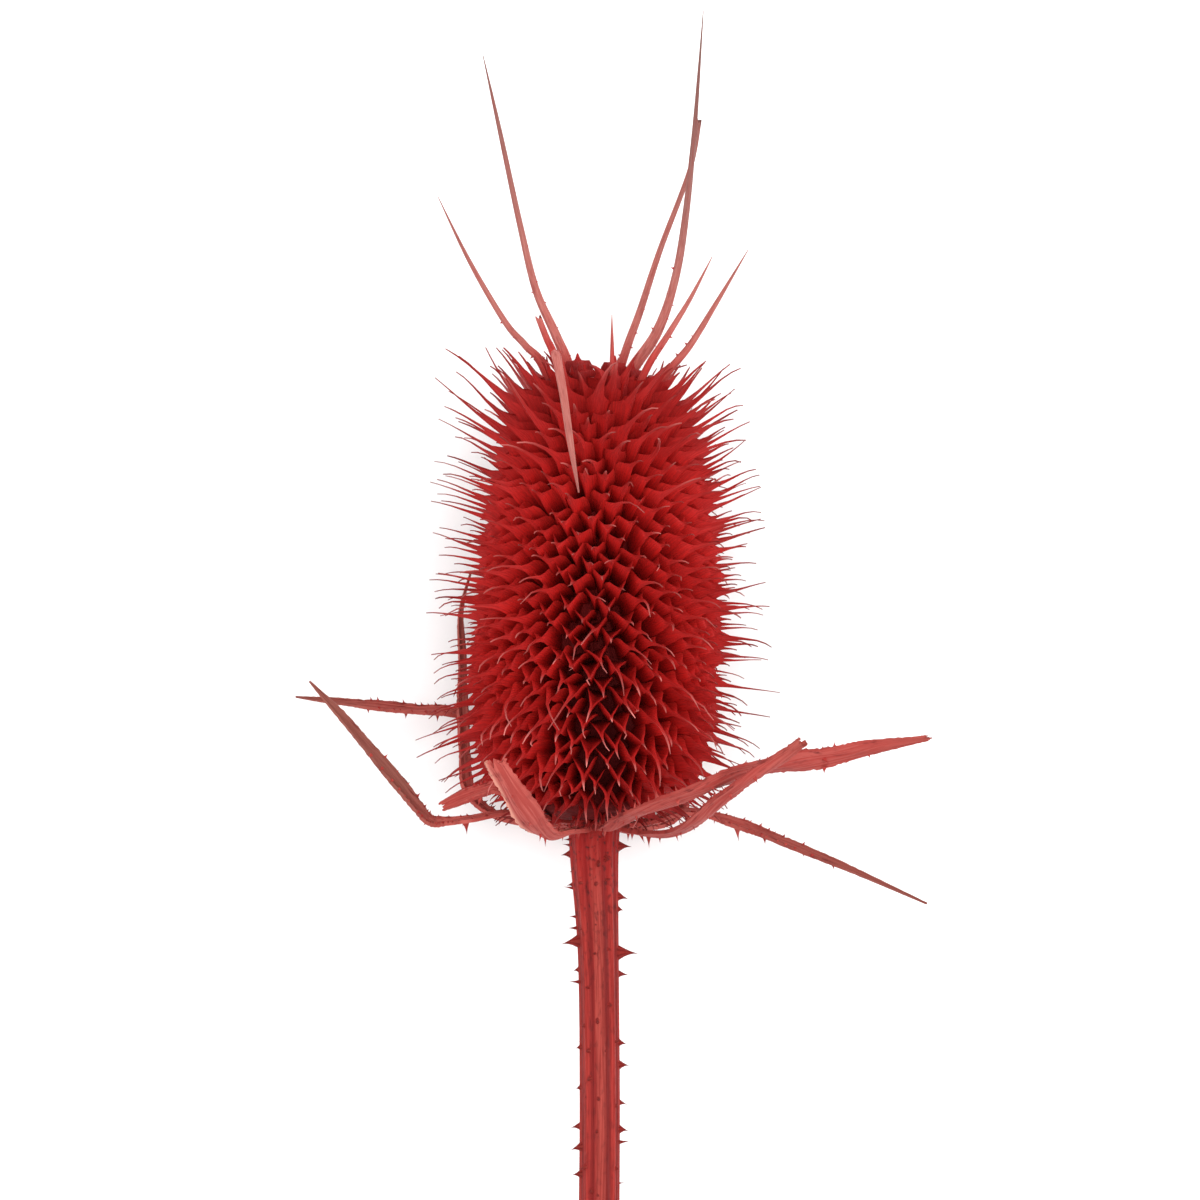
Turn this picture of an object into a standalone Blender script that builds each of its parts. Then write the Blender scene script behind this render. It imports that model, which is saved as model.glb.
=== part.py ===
"""A dyed teasel seed head, cut with a short stem and laid on a surface.

The plant's axis runs along +Y, from the cut stem to the crown, and +Z is up. Tables are in
millimetres, measured from the point on the axis where the head meets the stem. Their last column
is a half width or a radius. The objects are then moved so that the origin lies on the surface,
below the middle of the whole.
"""

import math
import random

import bmesh
import bpy
import numpy as np
from mathutils import Vector

MM = 0.001

# Driving dimensions
AXIS_HEIGHT = 25.0  # of the plant's axis above the surface, where the underside's awns are pressed in
STEM_CUT = -66.0  # along the axis
STEM_TOP = 2.1
SCALE_COUNT = 480
GOLDEN_ANGLE = math.radians(137.508)  # from one scale to the next, as the head grew

# Head, from its foot to its apex: radius, height and sideways shift of the scales' shoulders, and of their roots
SHOULDERS = ((9.5, 1.9, -0.8), (13.6, 3.9, -0.8), (17.1, 8.4, -0.6), (18.6, 16, -0.5), (19.1, 24, -0.4), (18.9, 32, 0.3), (18.4, 40, 0.6),
             (17.2, 48, 0.6), (15.6, 57, 0.5), (13, 65.5, 0.2), (7.6, 70.3, 0), (0.6, 69.3, 0))
ROOTS = ((4.8, 3.2, 0), (6.4, 5.2, 0), (8, 9, 0), (9, 16, 0), (9.3, 23.5, 0), (9.2, 31, 0), (8.8, 38.5, 0.2), (8.2, 46, 0.2),
         (7.2, 53, 0.2), (5.5, 57.5, 0), (3, 60, 0), (0.3, 61, 0))
AWN_LENGTHS = (4.5, 5.5, 7.0, 7.6, 8.0, 8.0, 8.0, 8.2, 9.0, 10.5, 4.0, 1.0)
AWN_DROOPS = (14, 26, 42, 44, 36, 27, 20, 17, 12, 7, 4, 0)  # degrees by which an awn's tip bends towards the stem
SIDE_DROOP = 0.3  # share of the droop that is left at the head's left and right
VALLEY_DEPTH = 0.42  # of the way from a scale's shoulder to its root
HEAD_FOOT = 3.7  # height of the head's underside on the axis
SHOULDER_WIDTH = 1.5  # half the width of a scale's trough, where it narrows to the awn
SHOULDER_RISE = 1.0  # of the trough's edges above its middle
SHOULDER_KEEL = 0.9  # of the keel below the trough's middle
AWN_RADIUS = 0.36
AWN_BEND = 0.42  # of the way along an awn, where it bends
LENGTH_SPREAD = (0.82, 1.08)
AWN_CLEARANCE = 0.9  # between an awn and a bract's edge
BRACT_PROBES = 60  # points along a bract at which the awns are kept clear of it
SIDE_SPREAD = 0.08  # of an awn's length, sideways

# Long awns of the crown: x, y, z, radius
CROWN_AWNS = {
    "left_long": ((-2.5, 60, 1, 0.9), (-4.4, 71.4, 1.5, 0.85), (-6.7, 77.3, 2, 0.75), (-9.8, 84.5, 2, 0.62),
                  (-12.3, 95, 2, 0.5), (-15.5, 110, 2, 0.36), (-18.2, 122, 2, 0.06)),
    "left_lean": ((-4, 58, 0, 0.7), (-8.2, 71.5, 0, 0.65), (-11.5, 75.6, 0, 0.58), (-14.7, 79.4, 0, 0.5),
                  (-20.3, 89, 0, 0.35), (-25.4, 99.4, 0, 0.06)),
    "left_broken": ((-3.5, 62, 4, 0.7), (-6.6, 73, 5.5, 0.65), (-8, 76.6, 5.5, 0.55), (-9.2, 79.8, 5.5, 0.5)),
    "hanging": ((-3.5, 61, 7, 0.8), (-5.6, 70.5, 11, 0.8), (-6.5, 73.6, 14.5, 0.8), (-6.2, 72.2, 18, 0.75),
                (-5.2, 67, 22.5, 0.65), (-4, 59, 26, 0.5), (-2.8, 51.7, 28, 0.12)),
    "right_long": ((1.5, 60, 0, 0.9), (4.6, 70, 2, 1.0), (9.3, 77.3, 2.5, 0.85), (12, 84.5, 2.5, 0.68),
                   (13.8, 93.3, 2.5, 0.6), (15.5, 108.5, 2.5, 0.42), (17, 129, 2.5, 0.06)),
    "right_crossing": ((1.5, 60, -3, 0.8), (3.2, 70, -3, 0.75), (4.8, 75.6, -3, 0.68), (6.9, 81.3, -3, 0.6),
                       (10.1, 90.9, -2.5, 0.48), (14.9, 103.7, -1.5, 0.4), (16.4, 111.4, -1, 0.4)),
    "right_inner": ((3.5, 60, 4, 0.6), (7.5, 71, 6, 0.6), (11.4, 77.3, 6, 0.5), (14.9, 82.9, 6, 0.35), (18.4, 89.6, 6, 0.06)),
    "right_lean": ((4, 58, 0, 0.8), (10, 69.5, 1, 0.7), (14.9, 75.7, 1, 0.55), (18.9, 82, 1, 0.4), (24.2, 90.9, 1, 0.06)),
    "thin": ((2, 60, 8, 0.45), (2.4, 72, 9, 0.4), (2.4, 80.2, 9, 0.06)),
}
CROWN_STATIONS = 9

# Stem: x, y, z, radius
STEM = ((0.4, STEM_CUT, 0, 3.2), (0.5, -45, 0, 3.15), (0.2, -22, 0, 3.2), (-0.5, -6, 0, 3.8), (-0.4, STEM_TOP, 0, 4.25))
STEM_STATIONS = 10
RIBS = 8
RIB_SHARE = 0.1  # of the radius, between a rib and a groove
PRICKLE_SPACING = (4.5, 11.0)  # along a rib
PRICKLE_LENGTH = (1.0, 2.2)  # out from the rib
PRICKLE_HALF_BASE = 0.7

# Bracts below the head: x, y, z, half width; then the inner face's direction at the foot and at the
# tip, whether the tip is broken off, and the number of thorns
BRACTS = {
    "bract_left_elbow": (((-5.06, -0.6, -0.62, 0.95), (-9, -0.2, -1.3, 0.8), (-14, 0.9, -2, 0.75), (-20, 0, -1.5, 0.85),
                          (-24.5, -0.5, -0.8, 0.95), (-26.6, -0.3, -0.2, 1), (-28.4, 1.6, 0.5, 1.05), (-31.5, 5.6, 1.4, 1.05),
                          (-36, 11, 2.4, 0.9), (-41.1, 17, 3.6, 0.6), (-45.8, 22, 4, 0.1)),
                         (0, 1, 0), (0.3, 0.3, 1), False, 7),
    "bract_left_back": (((-2.85, -1.4, -4.23, 1), (-6, -0.9, -10, 1.05), (-10, 4, -16.5, 1.1), (-14.5, 10, -20.5, 1.1),
                         (-19, 14.8, -21.5, 1.05), (-24.3, 16.9, -19.5, 0.95), (-29, 17.2, -17, 0.9), (-36, 18, -12, 0.8),
                         (-42, 18.7, -7.5, 0.5), (-48.3, 19.4, -4, 0.1)), (0, 1, 0), (0, 0.4, 1), False, 4),
    "bract_left_upright": (((-4.33, -0.9, -2.7, 0.95), (-9.5, -1.1, -6, 1), (-16, 0.2, -11, 1), (-20.4, 3.6, -15.5, 0.95),
                            (-21.4, 10, -17.5, 0.85), (-21.7, 17, -18, 0.8), (-21.8, 25, -18.5, 0.6),
                            (-22, 33, -19, 0.35), (-20.4, 39.6, -18.5, 0.1)), (0, 1, 0), (0.4, 0, 1), False, 3),
    "bract_left_stub": (((-4.8, -0.4, 1.75, 0.95), (-8.5, 0.5, 5, 0.85), (-12, 3, 9.8, 0.85), (-15.8, 5.2, 12.4, 0.95),
                         (-18.2, 4.8, 12.6, 1), (-21.3, 3.7, 12, 0.9), (-24.5, 2.3, 11.6, 0.65)),
                        (0, 1, 0), (0, 0.1, 1), True, 3),
    "bract_front_short": (((-2.2, -1.6, 4.7, 1.3), (-4.8, -2, 9.5, 1.6), (-7.6, -2.3, 15, 2), (-9.8, -0.6, 20.5, 2.35),
                           (-12, 3, 25.2, 2.35), (-14.4, 7, 28.4, 1.9), (-16.1, 9.8, 29.8, 1.4)),
                          (0, 1, 0), (0.3, 0.6, -0.8), True, 3),
    "bract_right_long": (((0.5, -1.3, 5.1, 1.2), (2.2, -1.1, 10.5, 1.3), (5, 0.8, 16.5, 1.35), (9.5, 2.6, 22, 1.4),
                          (15.5, 5, 25.5, 1.5), (22, 7.6, 23.5, 1.6), (29, 9.1, 18.5, 1.65), (36.5, 10.1, 15.5, 1.65),
                         (44, 11.8, 13.5, 0.95), (52.7, 13.1, 12, 0.42)), (0, 1, 0), (0, 0.25, -1), True, 9),
    "bract_right_raised": (((4.35, -1.7, 2.67, 1.1), (8.2, -2.2, 5.5, 1.3), (12, -2, 10.5, 1.35), (15.8, 0.2, 18, 1.4),
                            (19.6, 3.8, 24.5, 1.3), (24, 7.2, 28, 1.1), (29, 10.6, 29.3, 0.95), (32.2, 13, 29.6, 0.85)),
                           (0, 1, 0), (-0.4, 0.4, -0.8), True, 5),
    "bract_right_drooping": (((4.6, -1.2, -2.15, 1), (9.5, -0.4, -6, 1.05), (14, 0.7, -11, 1.05), (18.6, 0.1, -13.5, 1),
                              (24.3, -1.7, -13, 0.95), (30, -3.9, -11, 0.75), (41, -8.4, -6, 0.5),
                              (52.8, -13.6, 0, 0.1)), (0, 1, 0), (0, 0.5, 1), False, 9),
    "bract_under_left": (((-0.53, -1.3, -5.07, 1), (-2.5, -2.2, -11, 1.2), (-7.5, -1.6, -19, 1.5), (-12, 1, -24.3, 1.5),
                          (-13.5, 5, -24.6, 1.5), (-15, 11, -24.6, 1.3), (-17, 19, -23.8, 0.8), (-18.5, 25, -24, 0.1)),
                         (0, 1, 0), (0, 0, 1), False, 4),
    "bract_under_right": (((1.9, -1.3, -4.73, 1), (5, -2.2, -11, 1.3), (9.5, -1.6, -19, 1.5), (13, 1, -24.3, 1.5),
                           (14.5, 5, -24.6, 1.5), (16.5, 12, -24.6, 1.2), (19.5, 20, -24, 0.1)),
                          (0, 1, 0), (0, 0, 1), False, 4),
}
BRACT_STATIONS = 15
BRACT_THICKNESS = 0.8
BRACT_FOLD = 0.3  # rise of a blade's edges, as a share of its half width
KEEL_HALF_WIDTH = 0.4
THORN_LENGTH = (0.8, 1.5)
THORN_HALF_BASE = 0.5

# Surface colour, roughness
HEAD_RED = ((0.42, 0.012, 0.011), 0.62)
BRACT_RED = ((0.5, 0.09, 0.075), 0.75)
STEM_RED = ((0.4, 0.05, 0.04), 0.7)


def along(table, share):
    """The row at this share of the way through a table, on a smooth curve through its rows."""
    rows = np.asarray(table, float)
    last = len(rows) - 1
    start = min(int(share * last), last - 1)
    f = share * last - start
    a, b, c, d = (rows[min(max(i, 0), last)] for i in range(start - 1, start + 3))
    return 0.5 * (2 * b + (c - a) * f + (2 * a - 5 * b + 4 * c - d) * f**2 + (3 * b - 3 * c + d - a) * f**3)


def laid_at():
    """Where the tables' zero point lies, so that the origin is on the surface, below the middle."""
    left = BRACTS["bract_left_back"][0][-1][0]
    right = BRACTS["bract_right_drooping"][0][-1][0]
    crown = CROWN_AWNS["right_long"][-1][1]
    return Vector((-(left + right) / 2, -(STEM_CUT + crown) / 2, AXIS_HEIGHT)) * MM


def material(name, finish):
    colour, roughness = finish
    made = bpy.data.materials.new(name)
    made.use_nodes = True
    made.diffuse_color = (*colour, 1)
    surface = made.node_tree.nodes["Principled BSDF"]
    surface.inputs["Base Color"].default_value = (*colour, 1)
    surface.inputs["Roughness"].default_value = roughness
    surface.inputs["Metallic"].default_value = 0
    return made


def node(name, mesh, finish):
    """One named object from a mesh in millimetres, kept above the surface and moved to its place."""
    for vert in mesh.verts:
        vert.co.z = max(vert.co.z, -AXIS_HEIGHT)
        vert.co *= MM
    bmesh.ops.recalc_face_normals(mesh, faces=mesh.faces)
    data = bpy.data.meshes.new(name)
    mesh.to_mesh(data)
    mesh.free()
    data.materials.append(finish)
    made = bpy.data.objects.new(name, data)
    bpy.context.scene.collection.objects.link(made)
    made.location = laid_at()
    return made


def union(base, pieces, solver="EXACT"):
    """Joins the pieces to the base for good and removes them."""
    group = bpy.data.collections.new("pieces")
    bpy.context.scene.collection.children.link(group)
    for piece in pieces:
        bpy.context.scene.collection.objects.unlink(piece)
        group.objects.link(piece)
    bpy.ops.object.select_all(action="DESELECT")
    bpy.context.view_layer.objects.active = base
    base.select_set(True)
    joined = base.modifiers.new("grown together", "BOOLEAN")
    joined.operation = "UNION"
    joined.operand_type = "COLLECTION"
    joined.collection = group
    joined.solver = solver
    bpy.ops.object.modifier_apply(modifier=joined.name)
    for piece in pieces:
        bpy.data.objects.remove(piece)
    bpy.data.collections.remove(group)


def loft(mesh, rings, pointed, flipped=(), thorns=None):
    """Skins rings of points. The last ring is closed by its own face, or by a fan if it's pointed.

    flipped holds the strips whose quads are split along the other diagonal, and thorns holds the
    tips of the pyramids raised from some quads, by ring and strip.
    """
    thorns = thorns or {}
    verts = [[mesh.verts.new(point) for point in ring] for ring in rings]
    count = len(rings[0])
    for i, (low, high) in enumerate(zip(verts, verts[1:])):
        for j in range(count):
            k = (j + 1) % count
            a, b, c, d = low[j], low[k], high[k], high[j]
            if (i, j) in thorns:
                tip = mesh.verts.new(thorns[i, j])
                for p, q in ((a, b), (b, c), (c, d), (d, a)):
                    mesh.faces.new((p, q, tip))
            elif j in flipped:
                mesh.faces.new((a, b, d))
                mesh.faces.new((b, c, d))
            else:
                mesh.faces.new((a, b, c))
                mesh.faces.new((a, c, d))
    mesh.faces.new(verts[0][::-1])
    if pointed:
        tip = mesh.verts.new(sum(rings[-1], Vector()) / count)
        for j in range(count):
            mesh.faces.new((verts[-1][j], verts[-1][(j + 1) % count], tip))
        tip.co += (tip.co - sum(rings[-2], Vector()) / count).normalized() * 0.4
    else:
        mesh.faces.new(verts[-1])


def directions(points):
    """The unit direction of a path at each of its points."""
    ends = [points[0], *points, points[-1]]
    return [(after - before).normalized() for before, after in zip(ends, ends[2:])]


def round_ring(centre, heading, radius, sides, star=0.0):
    """A ring of points across a heading. With star, every second point lies that share further in."""
    across = heading.cross(Vector((1, 0, 0))).normalized()
    up = across.cross(heading)
    ring = []
    for i in range(sides):
        angle = 2 * math.pi * i / sides
        reach = radius * (1 - star * (i % 2))
        ring.append(centre + (across * math.cos(angle) + up * math.sin(angle)) * reach)
    return ring


def scale_places():
    """Each scale's share of the way up the head and its angle round it, evenly over the surface.

    The third value spaces the scales on a ball without distorting them, for finding neighbours.
    """
    shares = np.linspace(0, 1, 4001)
    profile = np.array([along(SHOULDERS, s) for s in shares])
    step = np.hypot(*np.diff(profile[:, :2], axis=0).T)
    radius = (profile[1:, 0] + profile[:-1, 0]) / 2
    area = np.concatenate([[0], np.cumsum(radius * step)])
    height = np.concatenate([[0], np.cumsum(step / radius)])
    height -= height[-1] / 2
    places = []
    for k in range(SCALE_COUNT):
        wanted = area[-1] * (k + 0.5) / SCALE_COUNT
        places.append((np.interp(wanted, area, shares), k * GOLDEN_ANGLE, np.interp(wanted, area, height)))
    return places


def head_point(row, angle):
    """The point of a profile row, radius, height and sideways shift, at an angle round the axis."""
    return Vector((row[2] + row[0] * math.cos(angle), row[1], row[0] * math.sin(angle)))


def neighbour_faces(places):
    """Triples of neighbouring scales, and of scales and the foot, which has the last index."""
    ball = bmesh.new()
    verts = []
    for _, angle, height in places:
        out, up = 1 / math.cosh(height), math.tanh(height)
        verts.append(ball.verts.new((out * math.cos(angle), out * math.sin(angle), up)))
    verts.append(ball.verts.new((0, 0, -1)))
    bmesh.ops.convex_hull(ball, input=verts)
    order = {vert: i for i, vert in enumerate(verts)}
    found = [tuple(order[v] for v in face.verts) for face in ball.faces]
    ball.free()
    return found


def stitch(mesh, low, high):
    """Joins two loops round one axis with triangles. Each loop is a list of (angle, vertex)."""
    low, high = sorted(low, key=lambda p: p[0]), sorted(high, key=lambda p: p[0])
    n, m = len(low), len(high)
    i = j = 0
    while i < n or j < m:
        next_low = low[(i + 1) % n][0] + 2 * math.pi * ((i + 1) // n)
        next_high = high[(j + 1) % m][0] + 2 * math.pi * ((j + 1) // m)
        here, there = low[i % n][1], high[j % m][1]
        if j == m or (i < n and next_low < next_high):
            i += 1
            mesh.faces.new((here, low[i % n][1], there))
        else:
            j += 1
            mesh.faces.new((here, high[j % m][1], there))


def scale_frame(share, angle):
    """A scale's root and shoulder, and its own directions: sideways, towards the crown, outwards."""
    root = head_point(along(ROOTS, share), angle)
    shoulder = head_point(along(SHOULDERS, share), angle)
    out = (shoulder - root).normalized()
    side = Vector((-math.sin(angle), 0, math.cos(angle)))
    return root, shoulder, side, side.cross(out), out


def bract_balls():
    """Points along the bracts, each with the room that an awn leaves round it."""
    return [
        (Vector(row[:3]), row[3] + AWN_CLEARANCE)
        for rows, _, _, _, _ in BRACTS.values()
        for row in (along(rows, i / BRACT_PROBES) for i in range(BRACT_PROBES + 1))
    ]


def clear_share(start, first, second, balls):
    """The share of its length that an awn can have beside the bracts."""
    share = 1.0
    while share > 0.3:
        line = [start + first * share * 0.5, start + first * share, start + (first + second * 0.5) * share, start + (first + second) * share]
        if all((point - centre).length > room for point in line for centre, room in balls):
            break
        share -= 0.1
    return share


def awn_points(share, shoulder, side, rise, out, draw, balls):
    """Where a scale's awn bends and where it ends, no lower than the surface and clear of the bracts."""
    length = along(AWN_LENGTHS, share) * draw.uniform(*LENGTH_SPREAD)
    droop = math.radians(float(along(AWN_DROOPS, share))) * (SIDE_DROOP + (1 - SIDE_DROOP) * abs(out.z) ** 1.5)
    drift = side * draw.uniform(-SIDE_SPREAD, SIDE_SPREAD)
    first = (out * math.cos(droop * 0.25) - rise * math.sin(droop * 0.25) + drift) * length * AWN_BEND
    second = (out * math.cos(droop) - rise * math.sin(droop) + drift * 2) * length * (1 - AWN_BEND)
    reach = first.z + second.z
    if shoulder.z + reach < -AXIS_HEIGHT:
        shorter = (-AXIS_HEIGHT - shoulder.z) / reach
        first, second = first * shorter, second * shorter
    room = clear_share(shoulder, first, second, balls)
    first, second = first * room, second * room
    return shoulder + first, shoulder + first + second


def raise_scale(mesh, corners, share, angle, draw, balls):
    """One scale: its side walls from the corners of its cell, a trough with a keel, and its awn."""
    root, shoulder, side, rise, out = scale_frame(share, angle)
    middle = root.lerp(shoulder, 1 - VALLEY_DEPTH)
    narrow = min(1.0, along(SHOULDERS, share)[0] / 10 + 0.3)

    def turn(point, centre):
        return math.atan2((point - centre).dot(rise), (point - centre).dot(side))

    def loop(points, centre):
        return [(turn(point, centre), mesh.verts.new(point)) for point in points]

    width, lift, keel = SHOULDER_WIDTH * narrow, SHOULDER_RISE * narrow, SHOULDER_KEEL * narrow
    trough = loop((shoulder - rise * keel, shoulder + side * width + rise * lift, shoulder + rise * 0.05,
                   shoulder - side * width + rise * lift), shoulder)
    bend, end = awn_points(share, shoulder, side, rise, out, draw, balls)
    awn = loop((bend - rise * AWN_RADIUS, bend + (side + rise * 0.6) * AWN_RADIUS, bend + (rise * 0.6 - side) * AWN_RADIUS), bend)
    stitch(mesh, [(turn(vert.co, middle), vert) for vert in corners], trough)
    stitch(mesh, trough, awn)
    tip = mesh.verts.new(end)
    ring = [vert for _, vert in sorted(awn, key=lambda p: p[0])]
    for j in range(3):
        mesh.faces.new((ring[j], ring[(j + 1) % 3], tip))


def crown_awn(rows, finish):
    """A long awn as a closed four-sided tube."""
    mesh = bmesh.new()
    rows = [along(rows, i / (CROWN_STATIONS - 1)) for i in range(CROWN_STATIONS)]
    points = [Vector(row[:3]) for row in rows]
    rings = [round_ring(p, h, max(row[3], 0.1), 4) for p, h, row in zip(points, directions(points), rows)]
    loft(mesh, rings, pointed=False)
    return node("awn", mesh, finish)


def head(finish):
    """The scales raised side by side from one closed surface, with the crown's long awns grown on."""
    draw = random.Random(5)
    places = scale_places()
    valleys = [
        head_point(along(SHOULDERS, s) * (1 - VALLEY_DEPTH) + along(ROOTS, s) * VALLEY_DEPTH, a)
        for s, a, _ in places
    ]
    valleys.append(Vector((0, HEAD_FOOT, 0)))
    mesh = bmesh.new()
    corners = [[] for _ in valleys]
    for face in neighbour_faces(places):
        corner = mesh.verts.new(sum((valleys[i] for i in face), Vector()) / len(face))
        for i in face:
            corners[i].append(corner)
    balls = bract_balls()
    for (share, angle, _), around in zip(places, corners):
        raise_scale(mesh, around, share, angle, draw, balls)
    foot = mesh.verts.new(valleys[-1])
    ring = sorted(corners[-1], key=lambda vert: math.atan2(vert.co.z, vert.co.x))
    for a, b in zip(ring, ring[1:] + ring[:1]):
        mesh.faces.new((a, b, foot))
    made = node("head", mesh, finish)
    union(made, [crown_awn(rows, finish) for rows in CROWN_AWNS.values()], solver="MANIFOLD")  # EXACT splits the scales
    return made


def prickle(foot, out, heading, length, finish):
    """A thorn as a closed four-sided pyramid, its base sunk in the stem."""
    mesh = bmesh.new()
    wide = heading * PRICKLE_HALF_BASE
    thick = heading.cross(out) * PRICKLE_HALF_BASE * 0.6
    base = [mesh.verts.new(foot - out * 0.7 + step) for step in (wide, thick, -wide, -thick)]
    tip = mesh.verts.new(foot + out * length + heading * length * 0.15)
    mesh.faces.new(base)
    for a, b in zip(base, base[1:] + base[:1]):
        mesh.faces.new((a, b, tip))
    return node("prickle", mesh, finish)


def stem(finish):
    """The ribbed stem, cut square at its end, with prickles along its ribs."""
    draw = random.Random(11)
    mesh = bmesh.new()
    rows = [along(STEM, i / (STEM_STATIONS - 1)) for i in range(STEM_STATIONS)]
    heading = Vector((0, 1, 0))
    loft(mesh, [round_ring(Vector(row[:3]), heading, row[3], 2 * RIBS, RIB_SHARE) for row in rows], pointed=False)
    made = node("stem", mesh, finish)
    prickles = []
    length = STEM_TOP - STEM_CUT
    for rib in range(RIBS):
        along_rib = draw.uniform(1.5, 6.0)
        while along_rib < length - 5:
            row = along(STEM, along_rib / length)
            foot = round_ring(Vector(row[:3]), heading, row[3], 2 * RIBS)[2 * rib]
            out = (foot - Vector(row[:3])).normalized()
            prickles.append(prickle(foot, out, heading, draw.uniform(*PRICKLE_LENGTH), finish))
            along_rib += draw.uniform(*PRICKLE_SPACING)
    union(made, prickles)
    return made


def blade_section(centre, heading, inner, half, thickness):
    """Seven points round a folded blade with a flat keel, from its left inner edge."""
    side = heading.cross(inner).normalized()
    up = side.cross(heading)
    keel = min(KEEL_HALF_WIDTH, half * 0.5)
    rise = up * half * BRACT_FOLD
    return [
        centre - side * half + rise,
        centre,
        centre + side * half + rise,
        centre + side * half + rise - up * thickness,
        centre + side * keel - up * thickness,
        centre - side * keel - up * thickness,
        centre - side * half + rise - up * thickness,
    ]


def thorn_spans(count, draw):
    """Where along a blade its thorns stand, from the foot, as shares of its length."""
    return [0.12 + 0.62 * (i + draw.uniform(0.2, 0.8)) / count for i in range(count)]


def bract(name, rows, foot_face, tip_face, broken, thorn_count, finish):
    """A long folded blade with thorns on its edges and keel."""
    draw = random.Random(name)
    length = sum((Vector(b[:3]) - Vector(a[:3])).length for a, b in zip(rows, rows[1:]))
    thorn_half = THORN_HALF_BASE / length
    spans = thorn_spans(thorn_count, draw)
    shares = [i / (BRACT_STATIONS - 1) for i in range(BRACT_STATIONS)]
    shares = [s for s in shares if all(abs(s - span) > 2.5 * thorn_half for span in spans)]
    shares = sorted(shares + [span + d for span in spans for d in (-thorn_half, thorn_half)])
    stations = [along(rows, s) for s in shares]
    points = [Vector(row[:3]) for row in stations]
    rings = []
    for share, point, heading, row in zip(shares, points, directions(points), stations):
        inner = Vector(foot_face).lerp(Vector(tip_face), share)
        half = max(row[3], 0.15)
        rings.append(blade_section(point, heading, inner, half, min(BRACT_THICKNESS, 0.3 + half)))
    thorns = {}
    for span in spans:
        i = next(i for i, s in enumerate(shares) if s > span) - 1
        strip = draw.choice((2, 4, 6))
        ends = [rings[i][strip], rings[i][(strip + 1) % 7], rings[i + 1][strip], rings[i + 1][(strip + 1) % 7]]
        foot = sum(ends, Vector()) / 4
        out = (foot - (rings[i][1] + rings[i + 1][1]) / 2).normalized()
        thorns[i, strip] = foot + out * draw.uniform(*THORN_LENGTH)
    mesh = bmesh.new()
    loft(mesh, rings, pointed=not broken, flipped=(3, 4, 5), thorns=thorns)
    return node(name, mesh, finish)


def main():
    for old in list(bpy.data.objects):
        bpy.data.objects.remove(old)
    head_red = material("head_red", HEAD_RED)
    bract_red = material("bract_red", BRACT_RED)
    stem_red = material("stem_red", STEM_RED)
    head(head_red)
    stem(stem_red)
    for name, (rows, foot_face, tip_face, broken, thorn_count) in BRACTS.items():
        bract(name, rows, foot_face, tip_face, broken, thorn_count, bract_red)


main()
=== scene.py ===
"""Looks of the dyed teasel head: fine scales, awns, bracts and stem over the part's frame.

Tables are in millimetres from the point on the plant's axis where the head meets the stem, as in
the part's source: +Y runs towards the crown and +Z is up. Pieces are modelled straight and then
bent along their paths. Each vertex keeps its place on the straight piece in the attribute
"straight", so that fibres and colours follow the piece.
"""

import math
import random

import bpy
import numpy as np
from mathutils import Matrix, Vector

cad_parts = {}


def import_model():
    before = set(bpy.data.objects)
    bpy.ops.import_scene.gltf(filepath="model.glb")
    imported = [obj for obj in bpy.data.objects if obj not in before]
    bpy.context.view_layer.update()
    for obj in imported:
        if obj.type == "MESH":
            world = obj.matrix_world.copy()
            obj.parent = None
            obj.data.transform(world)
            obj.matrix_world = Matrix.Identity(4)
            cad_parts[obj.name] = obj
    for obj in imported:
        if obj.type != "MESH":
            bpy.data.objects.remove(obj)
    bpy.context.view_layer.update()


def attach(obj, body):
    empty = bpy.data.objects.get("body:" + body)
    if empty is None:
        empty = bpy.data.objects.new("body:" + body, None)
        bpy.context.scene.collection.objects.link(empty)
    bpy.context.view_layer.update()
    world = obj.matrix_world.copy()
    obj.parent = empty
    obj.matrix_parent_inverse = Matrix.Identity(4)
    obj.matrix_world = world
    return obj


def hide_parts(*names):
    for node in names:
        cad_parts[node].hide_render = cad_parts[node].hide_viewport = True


MM = 0.001
AXIS_HEIGHT = 25.0
MEETING_POINT = Vector((-2.25, -31.5, AXIS_HEIGHT))  # where head and stem meet, in the frame
PATH_STEPS = 60  # even steps along a path, to measure it by
NEARBY = 0.012  # share of a path's way over which its direction is taken

# Head
SCALE_COUNT = 815
GOLDEN_ANGLE = math.radians(137.508)
FIRST_ANGLE = math.radians(90)
# From the head's foot to its apex: radius, height and sideways shift of the scales' shoulders, and
# of their roots
SHOULDERS = (
    (6.2, 0.1, -0.8), (7.8, 0.7, -1), (9.5, 1.9, -0.8), (13.6, 3.9, -0.8), (17.1, 8.4, -0.6),
    (18.6, 16, -0.5), (19.1, 24, -0.4), (18.9, 32, 0.3), (18.4, 40, 0.6), (17.2, 48, 0.6),
    (15.6, 57, 0.5), (13, 65.5, 0.2), (7.6, 70.3, 0), (0.6, 69.3, 0),
)
ROOTS = (
    (4.2, 1.6, 0), (4.5, 2.4, 0), (4.8, 3.2, 0), (6.4, 5.2, 0), (8, 9, 0), (9, 15.5, 0), (9.3, 22.3, 0),
    (9.2, 29, 0), (8.8, 35.5, 0.2), (8.2, 42, 0.2), (7.2, 49, 0.2), (5.5, 54, 0), (3, 57, 0),
    (0.3, 58, 0),
)
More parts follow.
